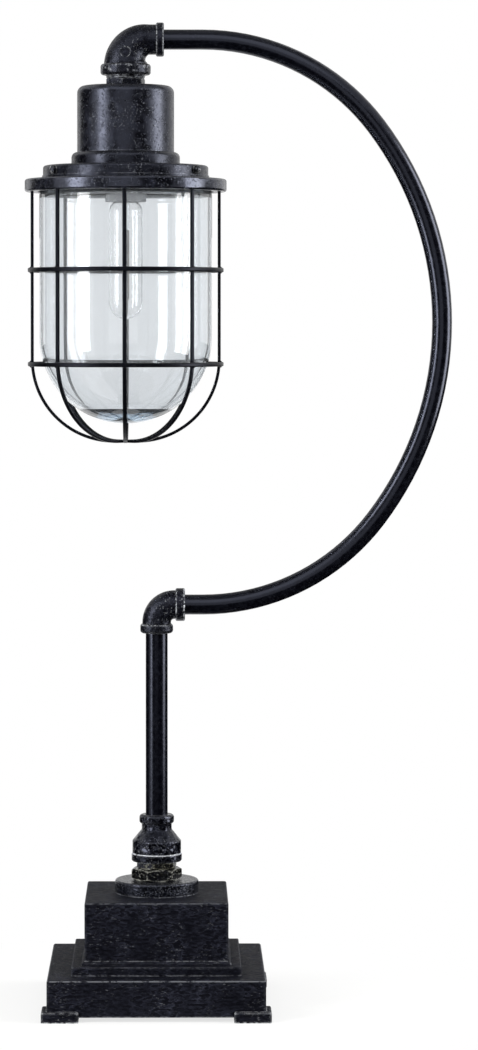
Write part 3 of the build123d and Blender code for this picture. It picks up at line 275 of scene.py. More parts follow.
@dataclass(frozen=True)
class WornBlack(Finish):
    """Black paint that is rubbed through on edges and high spots to a paler tone; on the upper elbow's band two
    pale lines are painted highlights as well.

    A field in mm is a real size, a share is a strength, and a cut is the noise level where a mark begins.
    """

    film: str
    film_pale: str
    rub: str
    tooth_mm: float
    depth_mm: float
    edge_mm: float
    edge_share: float
    scuff_mm: float
    scuff_share: float
    roughness: float
    specular: float
    tooth: Tooth = Tooth.CAST
    tooth_layers: float = 4.0
    rub_metal: float = 0.7
    scuff_cut: float = 0.58
    grit_mm: float = 1.4
    grit_share: float = 0.0
    vein_mm: float = 5.0
    vein_share: float = 0.0
    vein_rise: float = 0.0
    seam_mm: float = 0.0
    cloud_mm: float = 18.0
    area_mm: float = 15.0
    break_mm: float = 2.6
    gloss_spread: tuple[float, float] = (0.8, 1.3)
    rings: tuple[RubbedAndHighlightLine, ...] = ()
    gleam: str = "dce3ff"

    def paint(self, tree: Tree, shader: Node) -> None:
        """Lays film, tooth, wear with painted highlight lines, and gloss on the shader.

        Args:
            tree: the material's nodes.
            shader: its Principled shader.
        """
        where = add_node(tree, "ShaderNodeTexCoord")
        place = where.outputs["Object"]
        drawn_out = [1.0 / share for share in self.tooth.value]
        strokes = add_node(tree, "ShaderNodeMapping", {"Vector": place, "Scale": drawn_out})
        marks = self.marks(tree, where)
        veins = self.veins(tree, strokes)
        wear_and_highlights = self.wear_and_highlights(tree, place, strokes)
        cloud = patches(tree, place, self.cloud_mm, low=0.35, high=0.7)
        streak = add_node(tree, "ShaderNodeMapRange", {"Value": marks, "From Min": 0.45, "From Max": 0.75})
        tone = add_node(tree, "ShaderNodeMath", {0: cloud, 1: streak, 2: streak}, operation="MULTIPLY_ADD")
        clusters = add_node(tree, "ShaderNodeMath", {0: cloud, 1: self.vein_share}, operation="MULTIPLY")
        veined = add_node(tree, "ShaderNodeMath", {0: veins, 1: clusters, 2: tone}, operation="MULTIPLY_ADD")
        film = add_node(
            tree,
            "ShaderNodeMix",
            {0: veined, 6: linear(self.film), 7: linear(self.film_pale)},
            clamp_factor=False,
            data_type="RGBA",
        )
        colour = add_node(
            tree, "ShaderNodeMix", {0: wear_and_highlights, 6: film.outputs[2], 7: linear(self.rub)}, data_type="RGBA"
        )
        gloss = add_node(
            tree,
            "ShaderNodeMapRange",
            {
                "Value": marks,
                "From Min": 0.3,
                "From Max": 0.7,
                "To Min": self.roughness * self.gloss_spread[0],
                "To Max": self.roughness * self.gloss_spread[1],
            },
        )
        metal = add_node(tree, "ShaderNodeMath", {0: wear_and_highlights, 1: self.rub_metal}, operation="MULTIPLY")
        height = self.relief(tree, place, marks, veins)
        bump = add_node(tree, "ShaderNodeBump", {"Height": height, "Distance": self.depth_mm * MM})
        fill_inputs(
            tree,
            shader,
            {
                "Base Color": colour.outputs[2],
                "Roughness": gloss,
                "Metallic": metal,
                "Normal": bump,
                "Specular IOR Level": self.specular,
                "Specular Tint": linear(self.gleam),
            },
        )

    def marks(self, tree: Tree, where: Node) -> Node:
        """Draws the tooth: noise stretched along the tool's way, level on walls and along X on level faces.

        Args:
            tree: the material's nodes.
            where: the Texture Coordinate node.

        Returns:
            A node that gives the noise's height.
        """
        along, _, across = (self.tooth_mm * share for share in self.tooth.value)
        on_walls, on_level = (
            making_marks(tree, where.outputs["Object"], sizes, self.tooth_layers, roughness=0.62)
            for sizes in ((along, along, across), (along, across, along))
        )
        up = add_node(tree, "ShaderNodeSeparateXYZ", {"Vector": where.outputs["Normal"]})
        level = add_node(tree, "ShaderNodeMath", {0: up.outputs["Z"]}, operation="ABSOLUTE")
        return add_node(tree, "ShaderNodeMix", {0: level, 2: on_walls, 3: on_level})

    def veins(self, tree: Tree, strokes: Node) -> Node:
        """Draws the thin wandering ridges of thick paint: the lines along which a noise is at its middle.

        Args:
            tree: the material's nodes.
            strokes: the piece's coordinates, drawn out along the tool's way.

        Returns:
            A node that gives 1 on a ridge and 0 beside it.
        """
        noise = add_node(
            tree, "ShaderNodeTexNoise", {"Vector": strokes, "Scale": per_metre(self.vein_mm), "Detail": 3.0}
        )
        off = add_node(tree, "ShaderNodeMath", {0: noise, 1: 0.5}, operation="SUBTRACT")
        away = add_node(tree, "ShaderNodeMath", {0: off}, operation="ABSOLUTE")
        return add_node(tree, "ShaderNodeMapRange", {"Value": away, "From Min": 0.035, "From Max": 0.0})

    def wear_and_highlights(self, tree: Tree, place: Socket, strokes: Node) -> Node:
        """Adds up the wear and painted highlights: broken lines on edges, scuffs in patches, and pale lines at
        set places, which are rubbed bare and on the upper elbow's band also painted highlights.

        Args:
            tree: the material's nodes.
            place: the piece's own coordinates.
            strokes: the same, drawn out along the tool's way.

        Returns:
            A node that gives 0 for whole paint to 1 for bare metal and painted highlight lines.
        """
        broken = patches(tree, place, self.break_mm, low=0.36, high=0.62)
        edge = add_node(
            tree, "ShaderNodeMath", {0: worn_edges(tree, self.edge_mm), 1: broken}, operation="MULTIPLY"
        )
        edges = add_node(tree, "ShaderNodeMath", {0: edge, 1: self.edge_share}, operation="MULTIPLY")
        specks = patches(
            tree, strokes, self.scuff_mm, low=self.scuff_cut, high=self.scuff_cut + 0.12, detail=5.0
        )
        areas = patches(tree, place, self.area_mm, low=0.42, high=0.62)
        scuff = add_node(tree, "ShaderNodeMath", {0: specks, 1: areas}, operation="MULTIPLY")
        scuffs = add_node(tree, "ShaderNodeMath", {0: scuff, 1: self.scuff_share}, operation="MULTIPLY")
        worn_and_highlighted = add_node(tree, "ShaderNodeMath", {0: edges, 1: scuffs}, operation="MAXIMUM")
        for line in self.rings:
            worn_and_highlighted = self.rub_and_highlight_line(tree, place, worn_and_highlighted, line)
        return worn_and_highlighted

    def rub_and_highlight_line(self, tree: Tree, place: Socket, worn_and_highlighted: Node, line: RubbedAndHighlightLine) -> Node:
        """Draws one broken pale line: rubbed bare, and on the upper elbow's band also a painted highlight.

        Args:
            tree: the material's nodes.
            place: the piece's own coordinates.
            worn_and_highlighted: the node with the wear and painted highlights so far.
            line: where the line is.

        Returns:
            The node with the wear, the painted highlights and the line.
        """
        parts = add_node(tree, "ShaderNodeSeparateXYZ", {"Vector": place})
        past = add_node(
            tree, "ShaderNodeMath", {0: parts.outputs[line.axis], 1: line.at_mm * MM}, operation="SUBTRACT"
        )
        away = add_node(tree, "ShaderNodeMath", {0: past}, operation="ABSOLUTE")
        band = add_node(
            tree,
            "ShaderNodeMapRange",
            {
                "Value": away,
                "From Min": line.half_mm * MM,
                "From Max": line.half_mm * 0.5 * MM,
                "To Max": line.share,
            },
        )
        gaps = patches(tree, place, line.gap_mm, low=line.gap_cut, high=line.gap_cut + 0.16)
        part = add_node(tree, "ShaderNodeMath", {0: band, 1: gaps}, operation="MULTIPLY")
        return add_node(tree, "ShaderNodeMath", {0: worn_and_highlighted, 1: part}, operation="MAXIMUM")

    def relief(self, tree: Tree, place: Socket, marks: Node, veins: Node) -> Node:
        """Gives the bump's height: tooth, veins, sparse grit, and a casting's parting seam in the bend's plane.

        Args:
            tree: the material's nodes.
            place: the piece's own coordinates.
            marks: the tooth's height.
            veins: the ridges' height.

        Returns:
            A node that gives the height.
        """
        grains = patches(tree, place, self.grit_mm, low=0.6, high=0.72, detail=1.0)
        ridged = add_node(
            tree, "ShaderNodeMath", {0: veins, 1: self.vein_rise, 2: marks}, operation="MULTIPLY_ADD"
        )
        gritty = add_node(
            tree, "ShaderNodeMath", {0: grains, 1: self.grit_share, 2: ridged}, operation="MULTIPLY_ADD"
        )
        if not self.seam_mm:
            return gritty
        parts = add_node(tree, "ShaderNodeSeparateXYZ", {"Vector": place})
        away = add_node(tree, "ShaderNodeMath", {0: parts.outputs["Y"]}, operation="ABSOLUTE")
        ridge = add_node(
            tree,
            "ShaderNodeMapRange",
            {"Value": away, "From Min": self.seam_mm * MM, "From Max": 0.0},
            interpolation_type="SMOOTHSTEP",
        )
        return add_node(tree, "ShaderNodeMath", {0: gritty, 1: ridge}, operation="ADD")


@dataclass(frozen=True)
class ClearGlass(Finish):
    """Clear glass with a tint that grows with depth, a faint haze, and the slow ripple of its making."""

    tint: str
    stops_per_metre: tuple[float, float, float]
    ripple_mm: tuple[float, float, float]
    depth_mm: float
    haze: float = 0.0
    ior: float = 1.5

    def paint(self, tree: Tree, shader: Node) -> None:
        """Sets the glass, its depth tint, and a surface bent by stretched noise.

        Formula: light that goes d metres through the glass keeps exp(-stops d) of each colour.

        Args:
            tree: the material's nodes.
            shader: its Principled shader.
        """
        place = add_node(tree, "ShaderNodeTexCoord").outputs["Object"]
        wave = making_marks(tree, place, self.ripple_mm, detail=1.0)
        bump = add_node(tree, "ShaderNodeBump", {"Height": wave, "Distance": self.depth_mm * MM})
        fill_inputs(
            tree,
            shader,
            {
                "Base Color": linear(self.tint),
                "Normal": bump,
                "Transmission Weight": 1.0 - self.haze,
                "Roughness": 0.0,
                "IOR": self.ior,
            },
        )
        most = max(self.stops_per_metre)
        passed = [1.0 - stop / most for stop in self.stops_per_metre]
        depth = add_node(tree, "ShaderNodeVolumeAbsorption", {"Color": (*passed, 1.0), "Density": most})
        fill_inputs(tree, tree.nodes["Material Output"], {"Volume": depth})


@dataclass(frozen=True)
class PlainStuff(Finish):
    """An even material with fine tooth and slight unevenness of tone."""

    tone: str
    tone_pale: str
    tooth: Tooth
    tooth_mm: float
    depth_mm: float
    roughness: float
    metal: float = 0.0
    cloud_mm: float = 7.0

    def paint(self, tree: Tree, shader: Node) -> None:
        """Lays tone, tooth and gloss on the shader.

        Args:
            tree: the material's nodes.
            shader: its Principled shader.
        """
        place = add_node(tree, "ShaderNodeTexCoord").outputs["Object"]
        sizes = [self.tooth_mm * share for share in self.tooth.value]
        marks = making_marks(tree, place, sizes, detail=3.0)
        cloud = patches(tree, place, self.cloud_mm, low=0.35, high=0.68)
        colour = add_node(
            tree,
            "ShaderNodeMix",
            {0: cloud, 6: linear(self.tone), 7: linear(self.tone_pale)},
            data_type="RGBA",
        )
        gloss = add_node(
            tree,
            "ShaderNodeMapRange",
            {
                "Value": marks,
                "From Min": 0.3,
                "From Max": 0.7,
                "To Min": self.roughness - 0.06,
                "To Max": self.roughness + 0.08,
            },
        )
        bump = add_node(tree, "ShaderNodeBump", {"Height": marks, "Distance": self.depth_mm * MM})
        fill_inputs(
            tree,
            shader,
            {"Base Color": colour.outputs[2], "Roughness": gloss, "Normal": bump, "Metallic": self.metal},
        )


@dataclass(frozen=True)
class PaleFloor(Finish):
    """A matt floor that keeps the object's shadow and fades to white away from it."""

    tone: str
    near_m: float
    far_m: float
    near_white: float

    def paint(self, tree: Tree, shader: Node) -> None:
        """Mixes the matt tone with white, by the distance from the object, for rays that show the floor.

        Args:
            tree: the material's nodes.
            shader: its Principled shader, which is not used.
        """
        tree.nodes.clear()
        place = add_node(tree, "ShaderNodeTexCoord").outputs["Object"]
        away = add_node(tree, "ShaderNodeVectorMath", {0: place}, operation="LENGTH")
        far = add_node(
            tree,
            "ShaderNodeMapRange",
            {
                "Value": away.outputs["Value"],
                "From Min": self.near_m,
                "From Max": self.far_m,
                "To Min": self.near_white,
            },
            interpolation_type="SMOOTHSTEP",
        )
        share = add_node(tree, "ShaderNodeMath", {0: far, 1: shows_white(tree)}, operation="MULTIPLY")
        matt = add_node(tree, "ShaderNodeBsdfDiffuse", {"Color": linear(self.tone)})
        white = add_node(tree, "ShaderNodeEmission", {"Color": WHITE, "Strength": 1.0})
        both = add_node(tree, "ShaderNodeMixShader", {0: share, 1: matt, 2: white})
        add_node(tree, "ShaderNodeOutputMaterial", {"Surface": both})


@dataclass(frozen=True)
class Felt(Finish):
    """Matt felt that lets rays pass which went through glass."""

    tone: str

    def paint(self, tree: Tree, shader: Node) -> None:
        """Mixes the matt tone with clear.

        Args:
            tree: the material's nodes.
            shader: its Principled shader, which is not used.
        """
        tree.nodes.clear()
        path = add_node(tree, "ShaderNodeLightPath")
        matt = add_node(tree, "ShaderNodeBsdfDiffuse", {"Color": linear(self.tone)})
        clear = add_node(tree, "ShaderNodeBsdfTransparent")
        both = add_node(
            tree, "ShaderNodeMixShader", {0: path.outputs["Transmission Depth"], 1: matt, 2: clear}
        )
        add_node(tree, "ShaderNodeOutputMaterial", {"Surface": both})


# Brush-painted wood: short level strokes over dents, dull, with grey filler on the rubbed edges. The strokes
# are drawn coarser than a brush's hairs, so that they show.
BRUSHED_PAINT = WornBlack(
    name="brush_painted_wood",
    film="040409",
    film_pale="191a22",
    rub="8e9095",
    rub_metal=0.2,
    tooth=Tooth.BRUSHED,
    tooth_mm=1.5,
    depth_mm=1.1,
    edge_mm=1.3,
    edge_share=0.6,
    scuff_mm=0.9,
    scuff_share=0.28,
    vein_mm=3.0,
    vein_share=2.2,
    vein_rise=0.1,
    rings=(
        RubbedAndHighlightLine("Z", at_mm=25.8, half_mm=0.5, share=0.38, gap_mm=3.0, gap_cut=0.36),
        RubbedAndHighlightLine("Z", at_mm=71.4, half_mm=0.45, share=0.2, gap_mm=3.0, gap_cut=0.4),
    ),
    roughness=0.56,
    specular=0.09,
)
# The feet take the knocks: the same paint with more of the pale filler bare.
SCUFFED_PAINT = replace(
    BRUSHED_PAINT, name="scuffed_painted_wood", rub="c8cacd", edge_share=1.0, scuff_share=0.5
)
# Lacquered steel tube: nearly even blue-black with a long highlight and a faint orange peel.
PIPE_LACQUER = WornBlack(
    name="lacquered_steel_tube",
    film="040408",
    film_pale="0b0c12",
    rub="5a5c63",
    tooth_mm=2.6,
    depth_mm=0.05,
    edge_mm=0.6,
    edge_share=0.3,
    scuff_mm=1.2,
    scuff_share=0.12,
    roughness=0.20,
    specular=0.26,
)
# The bent tube is smoother drawn, and shines a little more.
ARM_LACQUER = replace(PIPE_LACQUER, name="lacquered_bent_tube", specular=0.36)
# Painted cast iron: sand grit under the paint, silver on rims and high spots, a seam in the bend's plane. The
# grit is drawn coarser than casting sand, so that it shows.
CAST_IRON = WornBlack(
    name="painted_cast_iron",
    film="050509",
    film_pale="13141b",
    rub="c4c7cb",
    rub_metal=0.4,
    tooth_mm=2.4,
    depth_mm=0.4,
    edge_mm=1.2,
    edge_share=0.45,
    scuff_mm=1.5,
    scuff_share=0.25,
    scuff_cut=0.56,
    grit_mm=2.4,
    grit_share=0.25,
    vein_mm=9.0,
    vein_share=0.8,
    vein_rise=0.05,
    seam_mm=0.5,
    roughness=0.25,
    specular=0.21,
)
# The elbows' bands are rubbed along their rims; on the upper elbow the two lines across X also stand for a
# painted highlight along the band's edge.
LOWER_CASTING = replace(
    CAST_IRON,
    name="painted_cast_iron_lower_bands",
    rings=(
        RubbedAndHighlightLine("X", at_mm=12.6, half_mm=0.5, share=0.6, gap_mm=2.0, gap_cut=0.47),
        RubbedAndHighlightLine("X", at_mm=17.8, half_mm=0.6, share=0.8, gap_mm=2.0, gap_cut=0.44),
        RubbedAndHighlightLine("Z", at_mm=246.2, half_mm=0.5, share=0.5, gap_mm=2.0, gap_cut=0.47),
    ),
)
UPPER_CASTING_WEAR_AND_HIGHLIGHT = replace(
    CAST_IRON,
    name="painted_cast_iron_upper_bands_wear_and_highlight",
    rings=(
        RubbedAndHighlightLine("Z", at_mm=606.6, half_mm=3.0, share=0.3, gap_mm=2.4, gap_cut=0.5),
        # Painted highlight: the two lines across X stand for a thin highlight along the band's edge as well as
        # for a rubbed rim.
        RubbedAndHighlightLine("X", at_mm=0.1, half_mm=0.5, share=0.3, gap_mm=3.0, gap_cut=0.36),
        RubbedAndHighlightLine("X", at_mm=4.2, half_mm=0.5, share=0.35, gap_mm=3.0, gap_cut=0.4),
    ),
)
# The bell's rim is rubbed to a bright silver line above its wide band.
CAST_BELL = replace(
    CAST_IRON,
    name="painted_cast_iron_bright_rim",
    film="030306",
    film_pale="0c0d13",
    rub="c2c4c8",
    rub_metal=0.5,
    tooth_mm=3.2,
    tooth_layers=0.3,
    depth_mm=0.7,
    grit_share=0.0,
    vein_mm=5.0,
    vein_share=2.0,
    vein_rise=0.3,
    seam_mm=0.0,
    rings=(RubbedAndHighlightLine("Z", at_mm=97.5, half_mm=0.45),),
    roughness=0.16,
    specular=0.30,
)
# The floor flange is the roughest casting.
CAST_FLANGE = replace(
    CAST_BELL,
    name="rough_cast_iron",
    rub="a3a6ac",
    tooth_mm=2.0,
    tooth_layers=1.0,
    depth_mm=0.3,
    scuff_mm=1.1,
    scuff_share=0.4,
    vein_mm=3.0,
    rings=(),
    roughness=0.2,
)
# Rubbed malleable iron: the plating's brassy grey shows in blotches on the flats of the nuts.
RUBBED_IRON = replace(
    CAST_IRON,
    name="rubbed_malleable_iron",
    film="050506",
    film_pale="12120f",
    rub="8f8d7c",
    tooth_mm=2.6,
    tooth_layers=1.2,
    depth_mm=0.6,
    edge_share=0.8,
    scuff_mm=2.4,
    scuff_share=0.8,
    scuff_cut=0.5,
    vein_share=0.0,
    seam_mm=0.0,
    roughness=0.2,
    specular=0.35,
)
# The lock nut is dark with bright worn corners.
BRIGHT_NUT = replace(
    RUBBED_IRON, name="rubbed_lock_nut", rub="bdbdb4", edge_share=0.95, scuff_mm=1.3, scuff_cut=0.57
)
# Spun steel in sandy black paint: grains that break the highlight, grey rims. The grains are drawn coarser
# than the paint's sand, so that they show.
SPUN_BLACK = WornBlack(
    name="sandy_black_spun_steel",
    film="050509",
    film_pale="0e0f16",
    rub="8b8e95",
    tooth_mm=6.0,
    tooth_layers=1.0,
    depth_mm=0.1,
    edge_mm=0.7,
    edge_share=0.5,
    scuff_mm=1.2,
    scuff_share=0.4,
    scuff_cut=0.56,
    grit_mm=1.3,
    grit_share=1.2,
    roughness=0.28,
    specular=0.44,
)
# The gallery under the cup is duller.
DULL_BLACK = replace(SPUN_BLACK, name="dull_black_spun_steel", specular=0.30)
# The flange that the cage hangs from is handled, and shines more.
HANDLED_BLACK = replace(
    SPUN_BLACK, name="handled_black_spun_steel", film="030306", scuff_share=0.35, roughness=0.22, specular=0.62
)
# Painted steel bar: plain black, slightly glossy, thin rub on corners.
CAGE_PAINT = WornBlack(
    name="painted_steel_bar",
    film="020204",
    film_pale="07080b",
    rub="55575c",
    tooth_mm=1.8,
    depth_mm=0.25,
    edge_mm=0.35,
    edge_share=0.3,
    scuff_mm=1.2,
    scuff_share=0.25,
    roughness=0.34,
    specular=0.12,
)
# Blackened screws: dark with bare steel on the rim and slot.
SCREW_BLACK = WornBlack(
    name="blackened_screw_steel",
    film="08080a",
    film_pale="1c1d20",
    rub="d0d2d4",
    rub_metal=0.2,
    tooth_mm=1.0,
    depth_mm=0.05,
    edge_mm=0.6,
    edge_share=0.9,
    scuff_mm=0.9,
    scuff_share=0.5,
    roughness=0.34,
    specular=0.25,
)
# Pressed soda-lime glass: grey-blue in depth, with a slow upright ripple.
JAR_GLASS = ClearGlass(
    name="pressed_soda_glass",
    tint="f3f4f5",
    stops_per_metre=(14.0, 9.0, 5.0),
    ripple_mm=(16.0, 16.0, 130.0),
    depth_mm=0.012,
    haze=0.035,
)
# Blown tube glass: thin and nearly colourless.
BULB_GLASS = ClearGlass(
    name="blown_tube_glass",
    tint="fefefe",
    stops_per_metre=(14.0, 10.0, 8.0),
    ripple_mm=(12.0, 12.0, 60.0),
    depth_mm=0.02,
)
# Glazed porcelain with painted shade: a grey tone darker than its white glaze, standing for the shade it sits
# in inside the jar; soft gloss, faint mottling.
PORCELAIN_PAINTED_SHADE = PlainStuff(
    "glazed_porcelain_painted_shade", "94969a", "a8aaab", Tooth.CAST, tooth_mm=2.0, depth_mm=0.02, roughness=0.24
)
# Turned zinc-plated steel: cool grey with level tool lines, drawn coarser than a lathe's so that they show.
ZINC_STEEL = PlainStuff(
    "zinc_plated_steel", "8d9195", "a4a8ab", Tooth.SPUN, tooth_mm=0.5, depth_mm=0.01, roughness=0.34, metal=1.0
)
# Drawn brass: warm yellow, dulled in clouds.
BRASS = PlainStuff(
    "drawn_brass", "a8894c", "c3a566", Tooth.SPUN, tooth_mm=0.4, depth_mm=0.01, roughness=0.32, metal=1.0
)
# Nickel-plated brass cap: pale warm silver.
NICKEL = PlainStuff(
    "nickel_plated_cap", "b9b6ae", "cfccc4", Tooth.SPUN, tooth_mm=0.5, depth_mm=0.01, roughness=0.26, metal=1.0
)
# Drawn tungsten: dark warm grey wire.
TUNGSTEN = PlainStuff(
    "drawn_tungsten", "5b5650", "767068", Tooth.SPUN, tooth_mm=0.2, depth_mm=0.005, roughness=0.4, metal=1.0
)
# Moulded rubber: dull black with a dusty bloom.
RUBBER = PlainStuff(
    "moulded_rubber", "121213", "1f1f20", Tooth.CAST, tooth_mm=0.6, depth_mm=0.03, roughness=0.68
)
# Extruded lead sheath: smooth dull black.
SHEATH = PlainStuff(
    "extruded_lead_sheath", "161617", "222223", Tooth.SPUN, tooth_mm=0.8, depth_mm=0.01, roughness=0.46
)
# Moulded polyamide: off-white with a soft sheen.
POLYAMIDE = PlainStuff(
    "moulded_polyamide", "d9d5c8", "e6e2d7", Tooth.CAST, tooth_mm=0.8, depth_mm=0.02, roughness=0.5
)
# Pressed fibreboard: dark grey-brown with short fibres.
FIBREBOARD = PlainStuff(
    "pressed_fibreboard", "211f1e", "383431", Tooth.CAST, tooth_mm=1.4, depth_mm=0.08, roughness=0.8
)
# Rolled studio floor: pale, matt, white in the distance.
STUDIO_FLOOR = PaleFloor("pale_floor", "f1f1ef", near_m=0.10, far_m=0.24, near_white=0.72)
# Felt of the flags: black ones for dark bands in the gloss, grey ones for a soft grey.
BLACK_FELT = Felt("black_felt", "060606")
GREY_FELT = Felt("grey_felt", "a8a8a8")


def lay_grid(points: np.ndarray, close_rows: bool, close_columns: bool) -> Sheet:
    """Numbers the quads between the neighbours of a grid of points.

    Formula: corner (i, j) meets (i, j + 1), (i + 1, j + 1) and (i + 1, j); a closed way joins its last line
    to its first.

    Args:
        points: the grid, as rows, columns and XYZ.
        close_rows: whether the last row joins the first.
        close_columns: whether the last column joins the first.

    Returns:
        The points as one list, and the four corners of each quad.
    """
    number = np.arange(points.shape[0] * points.shape[1]).reshape(points.shape[:2])
    if close_rows:
        number = np.vstack([number, number[:1]])
    if close_columns:
        number = np.hstack([number, number[:, :1]])
    quads = np.stack([number[:-1, :-1], number[:-1, 1:], number[1:, 1:], number[1:, :-1]], axis=-1)
    return points.reshape(-1, 3), quads.reshape(-1, 4)


def make_piece(name: str, body: str, finish: Finish, sheets: Sequence[Sheet]) -> bpy.types.Object:
    """Joins sheets in one mesh, welds its seams and poles, and sets it on its body.

    Args:
        name: the piece's name.
        body: the CAD body it moves with.
        finish: what it is painted with.
        sheets: points in millimetres and quads of each closed sheet.

    Returns:
        The new object.
    """
    starts = np.cumsum([0, *(len(points) for points, _ in sheets)])
    points = np.concatenate([points for points, _ in sheets]) * MM
    quads = np.concatenate([corners + start for (_, corners), start in zip(sheets, starts)])
    mesh = bpy.data.meshes.new(name)
    mesh.from_pydata(points.tolist(), [], quads.tolist())
    work = bmesh.new()
    work.from_mesh(mesh)
    bmesh.ops.remove_doubles(work, verts=work.verts, dist=WELD_M)
    bmesh.ops.recalc_face_normals(work, faces=work.faces)
    work.to_mesh(mesh)
    work.free()
    mesh.polygons.foreach_set("use_smooth", np.ones(len(mesh.polygons), dtype=bool))
    mesh.set_sharp_from_angle(angle=np.radians(SHARP_DEGREES))
    mesh.materials.append(finish.material())
    piece = bpy.data.objects.new(name, mesh)
    bpy.context.scene.collection.objects.link(piece)
    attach(piece, body)
    LOG.info("made %s on %s with %d faces", name, body, len(mesh.polygons))
    return piece


def stage_sheet(name: str, points: np.ndarray, finish: Finish) -> bpy.types.Object:
    """Puts an open sheet on the stage round the object.

    Args:
        name: the sheet's name.
        points: its grid, as rows, columns and XYZ in metres.
        finish: what it is made of.

    Returns:
        The new object.
    """
    corners, quads = lay_grid(points, close_rows=False, close_columns=False)
    mesh = bpy.data.meshes.new(name)
    mesh.from_pydata(corners.tolist(), [], quads.tolist())
    mesh.materials.append(finish.material())
    sheet = bpy.data.objects.new(name, mesh)
    bpy.context.scene.collection.objects.link(sheet)
    LOG.info("staged %s", name)
    return sheet


def dress(finish: Finish, *nodes: str) -> None:
    """Paints CAD nodes with a finish.

    Args:
        finish: the finish.
        nodes: the nodes' names.
    """
    for name in nodes:
        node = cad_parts[name]
        if not node.material_slots:
            node.data.materials.append(finish.material())
        for slot in node.material_slots:
            slot.material = finish.material()
        LOG.info("dressed %s in %s", name, finish.name)


@dataclass
class PedestalBase:
    """The stepped square base with its feet, and what is inside it."""

    def dress(self) -> None:
        """Paints the base and the hidden fittings."""
        dress(BRUSHED_PAINT, "plinth", "step_moulding", "pedestal_block")
        dress(SCUFFED_PAINT, "corner_feet")
        dress(FIBREBOARD, "base_cover")
        dress(ZINC_STEEL, "ballast_plate", "foot_screws", "tie_rod", "rod_nut", "rod_washer")
        dress(RUBBER, "cord_bushing")
        dress(POLYAMIDE, "terminal_block")
        dress(SHEATH, "base_lead")


@dataclass
class FittingStack:
    """The pipe fittings between the base and the upright, and the upright."""

    def dress(self) -> None:
        """Paints the fittings and the pipe."""
        dress(CAST_FLANGE, "floor_flange")
        dress(BRIGHT_NUT, "lock_nut")
        dress(RUBBED_IRON, "hex_bushing")
        dress(CAST_BELL, "bell_reducer")
        dress(PIPE_LACQUER, "upright_pipe")


@dataclass
class SwingArm:
    """The bent arm between its two elbows."""

    def dress(self) -> None:
        """Paints the elbows, the pipe and the lead in it."""
        dress(LOWER_CASTING, "lower_elbow")
        # The upper elbow's finish has painted highlight lines on its band.
        dress(UPPER_CASTING_WEAR_AND_HIGHLIGHT, "upper_elbow")
        dress(ARM_LACQUER, "arm_pipe")
        dress(SHEATH, "arm_lead")


@dataclass
class LampHead:
    """The cup, its gallery with the collar, and the lampholder."""

    thread_radius: float = 12.30
    thread_bottom: float = 600.75
    thread_pitch: float = 0.62
    thread_turns: float = 2.0
    thread_depth: float = 0.42
    thread_steps: int = 192
    root_share: float = 0.3
    flank_share: float = 0.45
    run_out: float = 6.0

    def build(self) -> None:
        """Cuts the thread that shows between the elbow and the neck's nut."""
        make_piece("neck_thread", "head", CAST_IRON, [self.thread()])

    def thread(self) -> Sheet:
        """Carries a triangle along a helix.

        Formula: at turn t the triangle's foot is at radius r, angle 2 pi t and height z + pitch t, and its
        crest stands out by the depth; a sine at both ends lets the crest run out to nothing.

        Returns:
            The thread's closed sheet.
        """
        turn = np.linspace(0.0, self.thread_turns, self.thread_steps)[:, None]
        fade = np.clip(np.sin(np.pi * turn / self.thread_turns) * self.run_out, 0.0, 1.0)
        out = np.array([-self.root_share, 0.0, 1.0, 0.0])[None, :] * self.thread_depth * fade
        up = np.array([0.0, self.flank_share, 0.0, -self.flank_share])[None, :] * self.thread_pitch * fade
        angle = 2.0 * np.pi * turn
        radius = self.thread_radius + out
        points = np.stack(
            [
                HEAD_AXIS_X + radius * np.cos(angle),
                radius * np.sin(angle),
                self.thread_bottom + self.thread_pitch * turn + up,
            ],
            axis=-1,
        )
        return lay_grid(points, close_rows=False, close_columns=True)

    def dress(self) -> None:
        """Paints the head from the neck down to the lampholder."""
        dress(CAST_IRON, "neck_nipple", "neck_lock_nut")
        dress(SPUN_BLACK, "lamp_cup")
        dress(DULL_BLACK, "gallery_collar")
        dress(ZINC_STEEL, "inner_lock_nut", "holder_stem")
        # The lampholder and its shade ring get the porcelain darkened to grey as painted shade.
        dress(PORCELAIN_PAINTED_SHADE, "lampholder_body", "shade_ring")
        dress(BRASS, "lampholder_sleeve", "lampholder_contact")
        dress(SHEATH, "head_lead")


